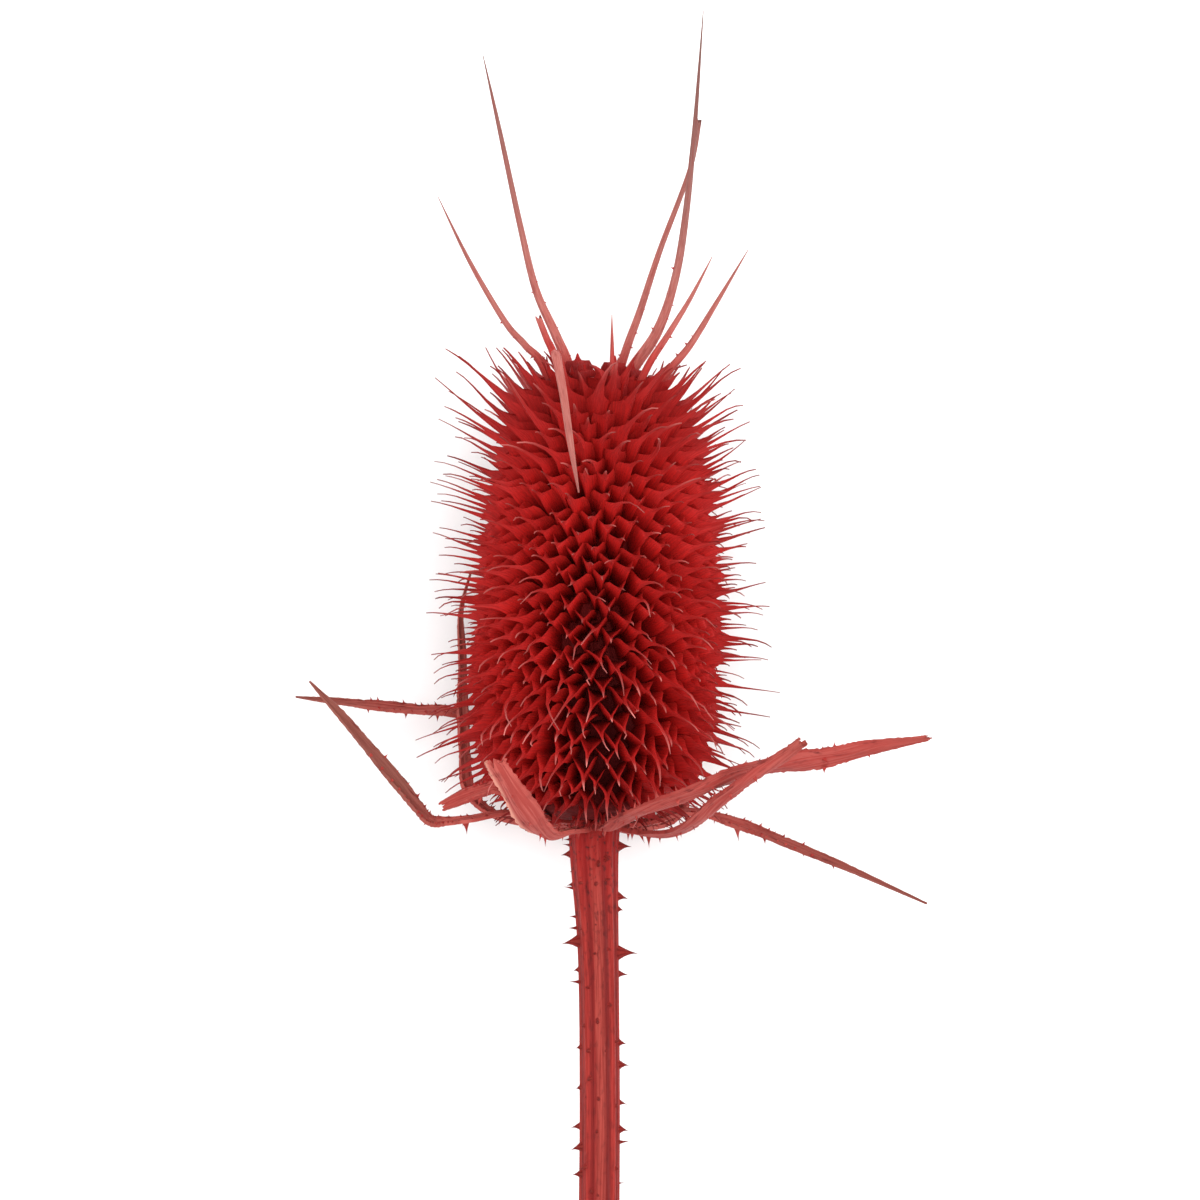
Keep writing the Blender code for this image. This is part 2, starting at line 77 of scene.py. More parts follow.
# At even steps of the same way: the awns' lengths, and their directions at the start and at the end,
# in degrees above the blade's own direction
AWN_LENGTHS = (1.8, 2.8, 5.4, 7.6, 9.2, 9.8, 9.4, 9.2, 9.2, 9.4, 10.5, 12.0, 3.0, 1.0)
AWN_STARTS = (-4, -4, -6, -12, -16, -17, -15, -10, -11, -13, -16, -14, -10, -8)
AWN_ENDS = (-20, -30, -40, -52, -62, -65, -60, -50, -42, -38, -34, -24, -14, -8)
SIDE_DROOP = 0.3  # share of the droop that is left at the head's left and right
LENGTH_SPREAD = (0.8, 1.12)
WORN_SHARE = (0.2, 0.75)  # of the awns which are worn or broken short, low on the head and high on its front
WORN_SPREAD = (0.25, 0.65)
# Shares of the awns, and the least and most degrees that their tips hook over
HOOKS = ((0.5, 0, 20), (0.35, 20, 60), (0.15, 60, 110))
HOOK_START = 0.6  # share of the awn's length
AWN_STEPS = 12
# How far single scales stray: round the head, along it, outwards, and in their awns' droop and
# drift in degrees
ANGLE_SPREAD = 0.02
SHARE_SPREAD = 0.002
SHOULDER_SPREAD = 0.35
DROOP_SPREAD = 8
DRIFT_SPREAD = 13
# How much their widths, depths and two halves differ, and how far they turn about their own length
WIDTH_SPREAD = (0.88, 1.12)
DEPTH_SPREAD = (0.82, 1.15)
LOPSIDED_SPREAD = 0.12
ROLL_SPREAD = 0.14
LOW_SLIMNESS = 0.12  # how much narrower the lips of the lowest scales are
LIP_START = 0.88  # where a scale's lip begins, between its root (0) and its shoulder (1)
CLEARANCE = 0.3  # of the awns from the surface that the head lies on
CORE_DEPTH = 0.62  # of the way from the shoulders to the roots
CORE_FOOT = ((0, 0.1, -0.4), (6.4, -0.1, -0.5), (8.2, 0.7, -0.6), (9.8, 2.2, -0.8))
# A straight scale's rings from root (0) over shoulder (1) to awn tip (2): half width, rise of the
# edges, depth of the boat, depth of the keel. Low scales are open boats with dark cells between
# them, and higher ones fill up behind their lips.
AWN_RINGS = (
    (1.08, 0.86, 0.16, 0.74, 1.16), (1.20, 0.45, -0.38, 0.74, 1.04), (1.42, 0.29, -0.60, 0.73, 0.95),
    (1.68, 0.20, -0.68, 0.73, 0.88), (1.86, 0.13, -0.72, 0.75, 0.84), (2.00, 0.03, -0.77, 0.78, 0.81),
)
OPEN_RINGS = (
    (0.00, 0.80, 0.30, 0.10, 0.50), (0.45, 1.60, 1.20, 0.60, 1.30), (0.72, 1.90, 1.50, 0.80, 1.45),
    (0.90, 1.70, 1.48, 0.86, 1.38), (1.00, 1.36, 1.00, 0.80, 1.25), *AWN_RINGS,
)
CLOSED_RINGS = (
    (0.00, 1.00, 0.60, -0.80, 0.70), (0.45, 1.80, 1.40, -2.00, 1.40), (0.72, 1.95, 1.50, -0.60, 1.55),
    (0.90, 1.74, 1.45, 0.50, 1.45), (1.00, 1.40, 1.00, 0.74, 1.30), *AWN_RINGS,
)
OPEN_BELOW = (0.32, 0.46)  # shares of the head's height: all scales are open below them and closed above
SCALE_WALL = (0.48, 0.13)  # thickness of the boat's walls, and of the awn's
FLANK = 0.45  # where the underside's corners lie, as a share of the half width
LEAFY = (0.74, 0.9)  # shares of the head's height between which the scales grow into the crown's long blades

# Broad scales round the notch at the crown's top: foot, tip, half width
APEX_LOBES = (
    ((-2.6, 64, 2), (-3.1, 74.4, 4), 2.1), ((-1.6, 63, 6), (-2, 72.6, 9), 1.7),
    ((2.2, 64, 3), (2.9, 74, 5), 1.9), ((4.4, 63, 2), (5.8, 73, 4), 1.9),
    ((-5.4, 62, 1), (-7, 71.5, 3), 1.9), ((2.4, 62, 8), (3.2, 71.6, 11), 1.6),
    ((-4, 63, -5), (-4.6, 72.5, -6), 2.1), ((0, 64, -5), (0.4, 71.5, -6), 2.1),
    ((4, 63, -5), (4.6, 72.5, -6), 2.1),
)
LOBE_BOAT = 0.86  # share of a lobe's length that its boat takes, before the awn
LOBE_DEPTH = 0.7
LOBE_TEMPLATE_WIDTH = 1.6

# Crown awns: x, y, z, radius
CROWN_AWNS = {
    "left_long": (
        (-2.5, 60, 1, 0.9), (-4.4, 71.4, 1.5, 0.85), (-6.7, 77.3, 2, 0.75), (-9.8, 84.5, 2, 0.62),
        (-12.3, 95, 2, 0.5), (-15.5, 110, 2, 0.36), (-18.2, 122, 2, 0.06),
    ),
    "left_lean": (
        (-4, 58, 0, 0.7), (-8.2, 71.5, 0, 0.65), (-11.5, 75.6, 0, 0.58), (-14.7, 79.4, 0, 0.5),
        (-20.3, 89, 0, 0.35), (-25.4, 99.4, 0, 0.06),
    ),
    "left_broken": (
        (-3.5, 62, 4, 0.7), (-6.6, 73, 5.5, 0.65), (-8, 76.6, 5.5, 0.55), (-9.2, 79.8, 5.5, 0.5),
    ),
    "hanging": (
        (-3.5, 61, 7, 0.8), (-5.6, 70.5, 11, 0.8), (-6.5, 73.6, 14.5, 0.8), (-6.2, 72.2, 18, 0.75),
        (-5.2, 67, 22.5, 0.65), (-4, 59, 26, 0.5), (-2.8, 51.7, 28, 0.12),
    ),
    "right_long": (
        (1.5, 60, 0, 0.9), (4.6, 70, 2, 1.0), (9.3, 77.3, 2.5, 0.85), (12, 84.5, 2.5, 0.68),
        (13.8, 93.3, 2.5, 0.6), (15.5, 108.5, 2.5, 0.42), (17, 129, 2.5, 0.06),
    ),
    "right_crossing": (
        (1.5, 60, -3, 0.8), (3.2, 70, -3, 0.75), (4.8, 75.6, -3, 0.68), (6.9, 81.3, -3, 0.6),
        (10.1, 90.9, -2.5, 0.48), (14.9, 103.7, -1.5, 0.4), (16.4, 111.4, -1, 0.4),
    ),
    "right_inner": (
        (3.5, 60, 4, 0.6), (7.5, 71, 6, 0.6), (11.4, 77.3, 6, 0.5), (14.9, 82.9, 6, 0.35),
        (18.4, 89.6, 6, 0.06),
    ),
    "right_lean": (
        (4, 58, 0, 0.8), (10, 69.5, 1, 0.7), (14.9, 75.7, 1, 0.55), (18.9, 82, 1, 0.4),
        (24.2, 90.9, 1, 0.06),
    ),
    "thin": ((2, 60, 8, 0.45), (2.4, 72, 9, 0.4), (2.4, 80.2, 9, 0.06)),
}
BLUNT_RADIUS = 0.3  # an awn whose tip is thicker than this is broken off
AWN_THORNS = (0.22, 0.62)  # shares of an awn's way between which it has thorns
THORNY_LENGTH = 22  # of the shortest awn with thorns
AWN_THORN_SIZES = (0.35, 0.8)
AWN_THORN_GAPS = (1.4, 4.2)

# Stem: x, y, z, radius
STEM_CUT = -66.0
STEM_TOP = 2.1
STEM = (
    (0.4, STEM_CUT, 0, 3.2), (0.5, -45, 0, 3.15), (0.2, -22, 0, 3.2), (-0.5, -6, 0, 3.8),
    (-0.4, STEM_TOP, 0, 4.25),
)
RIBS = 8
RIB_HEIGHT = 0.13  # share of the radius
GROOVE = 1.06  # angle of the deeper groove, right of the middle
PITH_DEPTH = 0.35  # how far the pith is sunk at the cut
PITH_SHARE = 0.75  # of the radius
RIB_THORN_SIZES = (0.3, 1.2)
RIB_THORN_GAPS = (3, 11)

# Bracts: x, y, z, half width; the inner face's direction at the tip; torn end
BRACTS = {
    "bract_left_elbow": ((
        (-5.06, -0.6, -0.62, 0.95), (-9, -0.2, -1.3, 0.8), (-14, 0.9, -2, 0.75), (-20, 0, -1.5, 0.85),
        (-24.5, -0.5, -0.8, 0.95), (-26.6, -0.3, -0.2, 1), (-28.4, 1.6, 0.5, 1.05),
        (-31.5, 5.6, 1.4, 1.05), (-36, 11, 2.4, 0.9), (-41.1, 17, 3.6, 0.6), (-45.8, 22, 4, 0.1),
    ), (0.3, 0.3, 1), False),
    "bract_left_back": ((
        (-2.85, -1.4, -4.23, 1), (-6, -0.9, -10, 1.05), (-10, 4, -16.5, 1.1), (-14.5, 10, -20.5, 1.1),
        (-19, 14.8, -21.5, 1.05), (-24.3, 16.9, -19.5, 0.95), (-29, 17.2, -17, 0.9),
        (-36, 18, -12, 0.8), (-42, 18.7, -7.5, 0.5), (-48.3, 19.4, -4, 0.1),
    ), (0, 0.4, 1), False),
    "bract_left_upright": ((
        (-4.33, -0.9, -2.7, 0.95), (-9.5, -1.1, -6, 1), (-16, 0.2, -11, 1), (-20.4, 3.6, -15.5, 0.95),
        (-21.4, 10, -17.5, 0.85), (-21.7, 17, -18, 0.8), (-21.8, 25, -18.5, 0.6),
        (-22, 33, -19, 0.35), (-20.4, 39.6, -18.5, 0.1),
    ), (0.4, 0, 1), False),
    "bract_left_stub": ((
        (-4.8, -0.4, 1.75, 0.95), (-8.5, 0.5, 5, 0.85), (-12, 3, 9.8, 0.85), (-15.8, 5.2, 12.4, 0.95),
        (-18.2, 4.8, 12.6, 1), (-21.3, 3.7, 12, 0.9), (-24.5, 2.3, 11.6, 0.65),
    ), (0, 0.1, 1), True),
    "bract_front_short": ((
        (-2.2, -1.6, 4.7, 1.3), (-4.8, -2, 9.5, 1.6), (-7.6, -2.3, 15, 2), (-9.8, -0.6, 20.5, 2.35),
        (-12, 3, 25.2, 2.35), (-14.4, 7, 28.4, 1.9), (-16.1, 9.8, 29.8, 1.4),
    ), (0.3, 0.6, -0.8), True),
    "bract_right_long": ((
        (0.5, -1.3, 5.1, 1.2), (2.2, -1.1, 10.5, 1.3), (5, 0.8, 16.5, 1.35), (9.5, 2.6, 22, 1.4),
        (15.5, 5, 25.5, 1.5), (22, 7.6, 23.5, 1.6), (29, 9.1, 18.5, 1.65), (36.5, 10.1, 15.5, 1.65),
        (44, 11.8, 13.5, 0.95), (52.7, 13.1, 12, 0.42),
    ), (0, 0.25, -1), True),
    "bract_right_raised": ((
        (4.35, -1.7, 2.67, 1.1), (8.2, -2.2, 5.5, 1.3), (12, -2, 10.5, 1.35), (15.8, 0.2, 18, 1.4),
        (19.6, 3.8, 24.5, 1.3), (24, 7.2, 28, 1.1), (29, 10.6, 29.3, 0.95), (32.2, 13, 29.6, 0.85),
    ), (-0.4, 0.4, -0.8), True),
    "bract_right_drooping": ((
        (4.6, -1.2, -2.15, 1), (9.5, -0.4, -6, 1.05), (14, 0.7, -11, 1.05), (18.6, 0.1, -13.5, 1),
        (24.3, -1.7, -13, 0.95), (30, -3.9, -11, 0.75), (41, -8.4, -6, 0.5), (52.8, -13.6, 0, 0.1),
    ), (0, 0.5, 1), False),
    "bract_under_left": ((
        (-0.53, -1.3, -5.07, 1), (-2.5, -2.2, -11, 1.2), (-7.5, -1.6, -19, 1.5), (-12, 1, -24.2, 1.5),
        (-13.5, 5, -24.36, 1.5), (-15, 11, -24.36, 1.3), (-17, 19, -23.8, 0.8), (-18.5, 25, -24, 0.1),
    ), (0, 0, 1), False),
    "bract_under_right": ((
        (1.9, -1.3, -4.73, 1), (5, -2.2, -11, 1.3), (9.5, -1.6, -19, 1.5), (13, 1, -24.2, 1.5),
        (14.5, 5, -24.36, 1.5), (16.5, 12, -24.36, 1.2), (19.5, 20, -24, 0.1),
    ), (0, 0, 1), False),
}
FOOT_FACE = Vector((0, 1, 0))  # the inner face's direction at every bract's foot
# Thorns at the stem's left and right edges: height along the stem and length
STEM_THORNS = {
    -1: (
        (-2.9, 0.7), (-4.6, 0.9), (-5.9, 1.1), (-8.3, 0.5), (-10.6, 0.9), (-11.4, 1.3), (-15.8, 0.9),
        (-17.3, 1.1), (-19.5, 1.9), (-20.5, 0.6), (-24.3, 0.7), (-26.1, 1.2), (-35.7, 0.5), (-36.6, 0.6),
        (-43, 0.5), (-49.3, 1.2), (-52, 1.2), (-57.1, 1),
    ),
    1: (
        (-5, 1.5), (-12, 1.2), (-12.7, 0.9), (-14.4, 0.6), (-21.8, 2.2), (-25.1, 1.7), (-35.8, 0.9),
        (-39.8, 1.1), (-45.1, 1.2), (-49.8, 1), (-52, 1.3), (-58.5, 1.1),
    ),
}
# Large thorns below the bracts: how far along X, and length
BRACT_THORNS = {
    "bract_left_elbow": ((-21, 1.5), (-15.5, 0.8), (-11, 0.9)),
    "bract_left_stub": ((-18.4, 1.2), (-20.6, 0.5)),
    "bract_front_short": ((-8.2, 1.4),),
    "bract_right_raised": ((6.2, 1.2), (8.3, 1.6), (12.5, 1.1), (15.2, 0.9)),
    "bract_right_drooping": ((14.5, 1.2), (22.7, 1.7), (27, 1), (33, 0.7), (38, 0.7)),
    "bract_right_long": ((36, 0.8), (43, 0.6)),
    "bract_left_back": ((-26, 1), (-31, 0.8), (-37, 0.7)),
}
# Thin spines on a bract's upper edge: how far along X
BRACT_SPINES = {"bract_right_long": (0.9, 1.7, 2.5, 3.6, 4.4, 5.6, 6.9, 7.8, 9.1, 10.6, 11.9, 13.4)}
SPINE_LENGTH = (1, 1.9)
SPINE_WIDTH = 0.6
# Small thorns on a bract's edges and on its keel: their sizes and the gaps between them
EDGE_THORNS = ((0.35, 0.95), (0.8, 2.8))
KEEL_THORNS = ((0.8, 1.6), (4, 10))
THORN_GRAIN = (20, 20, 30)  # how far a thorn's grain is stretched, so that it isn't taken for pith
THORN_SINK = 0.15  # how deep a thorn's foot is sunk
BRACT_THICKNESS = 0.62
BRACT_FOLD = 0.3
STRIP_CELLS = 12  # across a bract
LENGTH_CELLS = 2.2  # to a millimetre along it
FRAY_START = 0.94  # share of a torn bract's way where its fibres begin to differ
FRAY = (-0.9, 0.5)  # how far they end before and beyond its tip
GRAIN_WIDTH = 1.6  # half the width of a bract's grain, whatever its own width
# Each bract's tone is partly its own and partly painted light and shade: a bract lying in shade is given a
# rosier, lighter tone.
DULLNESS_AND_PAINTED_LIGHT = {  # of each bract, from rosy to dull red
    "bract_left_elbow": 0.32, "bract_left_back": 0.3, "bract_left_upright": 0.5, "bract_left_stub": 0.8,
    "bract_front_short": 0.58, "bract_right_long": 0.84, "bract_right_raised": 0.76,
    "bract_right_drooping": 0.7, "bract_under_left": 0.6, "bract_under_right": 0.6,
}
AGED = {  # where along a bract it turns brown, and how much
    "bract_left_elbow": (18, 36, 0.8), "bract_left_back": (44, 62, 0.7), "bract_left_upright": (20, 50, 0.5),
    "bract_right_long": (55, 72, 0.2), "bract_right_raised": (34, 44, 0.25),
    "bract_right_drooping": (26, 55, 0.7), "bract_under_left": (15, 40, 0.6),
    "bract_under_right": (15, 40, 0.6),
}
PALE_MARGIN = {"bract_front_short": 1}  # the side of a bract whose margin is folded over and pale
PALE_FROM = (0.9, 1.3)  # where across the grain the pale margin begins and is full

# Finishes
GRAIN_SIZES = ("Fibre Width", "Fibre Length", "Blotch Size", "Blotch Length")
MIX_SOCKETS = (0, 6, 7)  # of a Mix node for colours: the share and the two colours
MIX_RESULT = 2

# View
FRAME_WIDTH = 192.0  # of the photograph, in millimetres, at the plant's axis
VIEW_MIDDLE = Vector((0.5, 34.9, 0))
CAMERA_DISTANCE = 1200.0
SENSOR = 36.0
LIT_POINT = Vector((0, 0, 0.03))  # the middle of the head, in metres, as the lights are
# Lights: place and size in metres, and power in watts
LIGHTS = {
    "overhead light": ((0.1, 0.15, 1.0), 0.9, 5.8),
    "right light": ((0.7, 0.1, 0.6), 0.6, 3.6),
    "left light": ((-0.7, 0.1, 0.6), 0.6, 2.6),
}


def srgb(red, green, blue):
    """A colour as seen on screen, 0 to 255, made linear for a shader."""
    shares = [value / 255 for value in (red, green, blue)]
    return tuple(s / 12.92 if s <= 0.04045 else ((s + 0.055) / 1.055) ** 2.4 for s in shares) + (1.0,)


def clamped(value, low=0, high=1):
    """A value kept between two limits."""
    return min(max(value, low), high)


# Paths


def along(table, share):
    """The row at this share of the way through a table, on a smooth curve through its rows."""
    rows = np.asarray(table, float)
    last = len(rows) - 1
    start = min(int(share * last), last - 1)
    f = share * last - start
    a, b, c, d = (rows[clamped(i, 0, last)] for i in range(start - 1, start + 3))
    return 0.5 * (2 * b + (c - a) * f + (2 * a - 5 * b + 4 * c - d) * f**2 + (3 * b - 3 * c + d - a) * f**3)


def heading_at(rows, share):
    """The direction of a path at a share of its way."""
    after, before = along(rows, min(share + NEARBY, 1)), along(rows, max(share - NEARBY, 0))
    return Vector(after[:3] - before[:3]).normalized()


def even_rows(rows):
    """The rows at even steps along a path."""
    return [along(rows, i / PATH_STEPS) for i in range(PATH_STEPS + 1)]


def path_length(rows):
    points = [Vector(row[:3]) for row in even_rows(rows)]
    return sum((b - a).length for a, b in zip(points, points[1:]))


def rod_frame(rows, share):
    """Centre, radius, heading and two directions across a round path."""
    row = along(rows, share)
    heading = heading_at(rows, share)
    across = heading.cross(Vector((1, 0, 0))).normalized()
    return Vector(row[:3]), row[3], heading, across, across.cross(heading)


def blade_frame(spec, share):
    """Centre, half width, heading, sideways and inner direction of a bract's blade."""
    rows, tip_face, _ = spec
    row = along(rows, share)
    heading = heading_at(rows, share)
    inner = FOOT_FACE.lerp(Vector(tip_face), share)
    side = heading.cross(inner).normalized()
    return Vector(row[:3]), max(row[3], 0.12), heading, side, side.cross(heading)


# Modelling


def change_mode(mode):
    bpy.ops.object.mode_set(mode=mode)


def begin():
    """Clears the selection, because operators act on everything that is selected."""
    if bpy.context.object and bpy.context.object.mode != "OBJECT":
        change_mode("OBJECT")
    bpy.ops.object.select_all(action="DESELECT")


def named(name):
    """Names the active object and its mesh."""
    made = bpy.context.object
    made.name = name
    made.data.name = name
    return made


def cut_lengthwise(cuts):
    """Cuts the active object's long edges, those along Z, into equal steps."""
    made = bpy.context.object
    change_mode("EDIT")
    bpy.ops.mesh.select_mode(type="EDGE")
    bpy.ops.mesh.select_all(action="DESELECT")
    change_mode("OBJECT")
    verts = made.data.vertices
    for edge in made.data.edges:
        low, high = (verts[i].co for i in edge.vertices)
        edge.select = abs(high.z - low.z) > 0.5
    change_mode("EDIT")
    bpy.ops.mesh.subdivide(number_cuts=cuts)
    change_mode("OBJECT")


def straight_rod(name, sides, steps):
    """A round rod of radius 1 from the origin to (0, 0, 1)."""
    begin()
    bpy.ops.mesh.primitive_cylinder_add(vertices=sides, radius=1, depth=1, location=(0, 0, 0.5))
    bpy.ops.object.transform_apply(location=True)
    cut_lengthwise(steps - 1)
    return named(name)


def straight_thorn():
    """A thorn's template: a hollow-sided, slightly hooked cone, one unit high."""
    begin()
    bpy.ops.mesh.primitive_cone_add(vertices=7, radius1=0.5, radius2=0.04, depth=1, location=(0, 0, 0.5))
    bpy.ops.object.transform_apply(location=True)
    cut_lengthwise(4)
    made = named("thorn_template")
    for vert in made.data.vertices:
        height = max(vert.co.z, 0)
        slim = (1 - height) ** 0.9 * 0.9 + 0.1
        vert.co.x = vert.co.x * slim + 0.16 * height**2
        vert.co.y *= slim
    return made


def straight_scale(rings):
    """A scale's template: sideways is X, towards the crown is Y, and Z runs from root to awn tip.

    The six corners of a ring are numbered by their angle: 0 is the trough and 3 the keel.
    """
    begin()
    bpy.ops.mesh.primitive_circle_add(vertices=6, radius=1, fill_type="NGON")
    change_mode("EDIT")
    for low, high in zip(rings, rings[1:]):
        bpy.ops.mesh.extrude_region_move(TRANSFORM_OT_translate={"value": (0, 0, high[0] - low[0])})
    change_mode("OBJECT")
    made = named("scale_template")
    hollow = [0.0] * len(made.data.vertices)
    for height, width, lift, trough, keel in rings:
        boat, awn = SCALE_WALL
        wall = boat + (awn - boat) * clamped((height - 1) / 0.2)
        flank = FLANK * (lift + trough) - trough - wall
        corners = (
            (0, -trough), (width, lift), (width * FLANK, flank), (0, -keel), (-width * FLANK, flank),
            (-width, lift),
        )
        for vert in (v for v in made.data.vertices if abs(v.co.z - height) < 1e-4):
            turn = round(math.degrees(math.atan2(vert.co.x, vert.co.y)) / 60) % 6
            vert.co.x, vert.co.y = corners[turn]
            # The trough's corner is marked as hollow, the more the deeper it lies, for the painted shade
            # inside the boat.
            if turn == 0:
                hollow[vert.index] = clamped((1 - height) / 0.35)
    mark(made.data, "hollow", hollow)
    return made


def mark(mesh, name, values):
    """Keeps a number for each of a mesh's vertices."""
    mesh.attributes.new(name, "FLOAT", "POINT").data.foreach_set("value", values)


def lifted(point, clear=0.0):
    """A point, kept this far above the surface that the head is pressed on."""
    return Vector((point.x, point.y, max(point.z, clear - AXIS_HEIGHT)))


def grown(name, template, placings, smooth=50):
    """Copies of a template as one object.

    A placing is a map from straight to grown, the copy's luck, and how far its grain is stretched.
    """
    source = [vert.co.copy() for vert in template.data.vertices]
    faces = [tuple(face.vertices) for face in template.data.polygons]
    verts, polygons, straight, luck = [], [], [], []
    for place, chance, stretch in placings:
        start = len(verts)
        verts += [lifted(place(co)) for co in source]
        polygons += [tuple(start + i for i in face) for face in faces]
        straight += [(co.x * stretch[0], co.y * stretch[1], co.z * stretch[2]) for co in source]
        luck += [chance] * len(source)
    mesh = bpy.data.meshes.new(name)
    mesh.from_pydata([(at + MEETING_POINT) * MM for at in verts], [], polygons)
    mesh.attributes.new("straight", "FLOAT_VECTOR", "POINT").data.foreach_set("vector", np.ravel(straight))
    mark(mesh, "luck", luck)
    mesh.attributes.new("tip", "FLOAT", "POINT")
    made = bpy.data.objects.new(name, mesh)
    bpy.context.scene.collection.objects.link(made)
    outward_and_smooth(made, smooth)
    return made


def outward_and_smooth(made, angle):
    """Turns an object's faces outwards, and smooths it up to an angle in degrees."""
    begin()
    bpy.context.view_layer.objects.active = made
    made.select_set(True)
    change_mode("EDIT")
    bpy.ops.mesh.select_all(action="SELECT")
    bpy.ops.mesh.normals_make_consistent(inside=False)
    change_mode("OBJECT")
    bpy.ops.object.shade_smooth_by_angle(angle=math.radians(angle))


def joined(name, pieces):
    """Joins pieces into one object."""
    begin()
    for piece in pieces:
        piece.select_set(True)
    bpy.context.view_layer.objects.active = pieces[0]
    bpy.ops.object.join()
    return named(name)


def fitted(piece, finish, slot, *nodes):
    """Gives a finished piece its material and its place in the frame."""
    piece.data.materials.clear()
    piece.data.materials.append(finish)
    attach(piece, "root")
    if nodes:
        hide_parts(*nodes)


# Head


def scale_places():
    """Each scale's share of the way up the head and its angle round it, evenly over the surface."""
    shares = np.linspace(0, 1, 4001)
    profile = np.array([along(SHOULDERS, s) for s in shares])
    step = np.hypot(*np.diff(profile[:, :2], axis=0).T)
    radius = (profile[1:, 0] + profile[:-1, 0]) / 2
    area = np.concatenate([[0], np.cumsum(radius * step)])
    wanted = area[-1] * (np.arange(SCALE_COUNT) + 0.5) / SCALE_COUNT
    heights = np.interp(wanted, area, shares)
    return [(share, FIRST_ANGLE + k * GOLDEN_ANGLE) for k, share in enumerate(heights)]


def head_point(row, angle):
    """The point at an angle round the head, for a row of radius, height and sideways shift."""
    return Vector((row[2] + row[0] * math.cos(angle), row[1], row[0] * math.sin(angle)))


def leafiness(share):
    """How much the scales at this share of the head's height look like the crown's long blades."""
    return clamped((share - LEAFY[0]) / (LEAFY[1] - LEAFY[0]))


def scale_path(share, angle, draw):
    """A scale's centre line, from its root (0) over its shoulder (1) to its awn's tip (2)."""
    angle += draw.gauss(0, ANGLE_SPREAD)
    share = clamped(share + draw.gauss(0, SHARE_SPREAD))
    root = head_point(along(ROOTS, share), angle)
    shoulder = head_point(along(SHOULDERS, share), angle)
    out = (shoulder - root).normalized()
    side = Vector((-math.sin(angle), 0, math.cos(angle)))
    rise = side.cross(out)
    few, many = WORN_SHARE
    front = 0.5 + 0.5 * max(math.sin(angle), 0)
    leafy = leafiness(share)
    worn = draw.random() < (few + (many - few) * min(share / 0.5, 1) * front) * (1 - 0.7 * leafy)
    length = along(AWN_LENGTHS, share) * draw.uniform(*(WORN_SPREAD if worn else LENGTH_SPREAD))
    length *= 1 + 0.3 * leafy * max(-math.cos(angle), 0)
    droop = SIDE_DROOP + (1 - SIDE_DROOP) * abs(math.sin(angle)) ** 1.5
    start, end = along(AWN_STARTS, share), along(AWN_ENDS, share) * droop + draw.gauss(0, DROOP_SPREAD)
    _, least, most = draw.choices(HOOKS, [chance for chance, _, _ in HOOKS])[0]
    curl = draw.uniform(least, most) * droop * (1 - 0.85 * leafy)
    drift = draw.gauss(0, DRIFT_SPREAD)
    shoulder += out * draw.gauss(0, SHOULDER_SPREAD)
    points = [root, shoulder]
    for i in range(AWN_STEPS):
        u = (i + 0.5) / AWN_STEPS
        hooked = max(0, (u - HOOK_START) / (1 - HOOK_START)) ** 1.4
        pitch = math.radians(start + (end - start) * u**1.2 - curl * hooked)
        yaw = math.radians(drift * u * 2)
        step = out * math.cos(pitch) * math.cos(yaw) + rise * math.sin(pitch) + side * math.sin(yaw)
        points.append(points[-1] + step * (length / AWN_STEPS))
    return [lifted(point, CLEARANCE) for point in points], side, rise


def scale_placing(share, angle, draw):
    """Bends a straight scale along its path, with a width, depth and turn of its own."""
    points, side, rise = scale_path(share, angle, draw)
    narrow = min(1.0, along(SHOULDERS, share)[0] / 10 + 0.32) * draw.uniform(*WIDTH_SPREAD)
    roll, lopsided = draw.gauss(0, ROLL_SPREAD), draw.gauss(0, LOPSIDED_SPREAD)
    deep = draw.uniform(*DEPTH_SPREAD)
    slim = LOW_SLIMNESS * clamped((0.5 - share) / 0.35)
    leafy = leafiness(share)
    cos, sin = math.cos(roll), math.sin(roll)
    bend = points[1:]
    count = len(bend) - 1

    def place(co):
        if co.z <= 1:
            centre = points[0].lerp(points[1], co.z)
            heading = (points[1] - points[0]).normalized()
        else:
            spot = min((co.z - 1) * count, count - 1e-6)
            i = int(spot)
            centre = bend[i].lerp(bend[i + 1], spot - i)
            heading = (bend[i + 1] - bend[i]).normalized()
        across = heading.cross(rise).normalized()
        if across.dot(side) < 0:
            across = -across
        up = across.cross(heading)
        if up.dot(rise) < 0:
            up = -up
        across, up = across * cos + up * sin, up * cos - across * sin
        blade = math.exp(-(((co.z - 1.22) / 0.26) ** 2))
        awn = clamped((co.z - 1) * 4)
        lip = slim * clamped((co.z - LIP_START) / (1 - LIP_START))
        uneven = 1 + math.copysign(lopsided, co.x)
        wide = narrow * (1 + leafy * (0.8 * blade + 0.4 * awn)) * uneven * (1 - lip)
        raised = up * co.y * narrow * deep * (1 + 0.4 * leafy * awn) * (1 - lip * 0.6)
        return centre + across * co.x * wide + raised

    return place


def lobe_placing(foot, tip, width):
    """A broad scale with hardly any awn, its keel towards the camera, for the top of the crown."""
    foot, tip = Vector(foot), Vector(tip)
    heading = (tip - foot).normalized()
    across = heading.cross(Vector((0, 0, -1))).normalized()
    up = across.cross(heading)

    def place(co):
        share = co.z * LOBE_BOAT if co.z <= 1 else LOBE_BOAT + (co.z - 1) * (1 - LOBE_BOAT)
        return foot.lerp(tip, share) + (across * co.x + up * co.y * LOBE_DEPTH) * width / LOBE_TEMPLATE_WIDTH

    return place


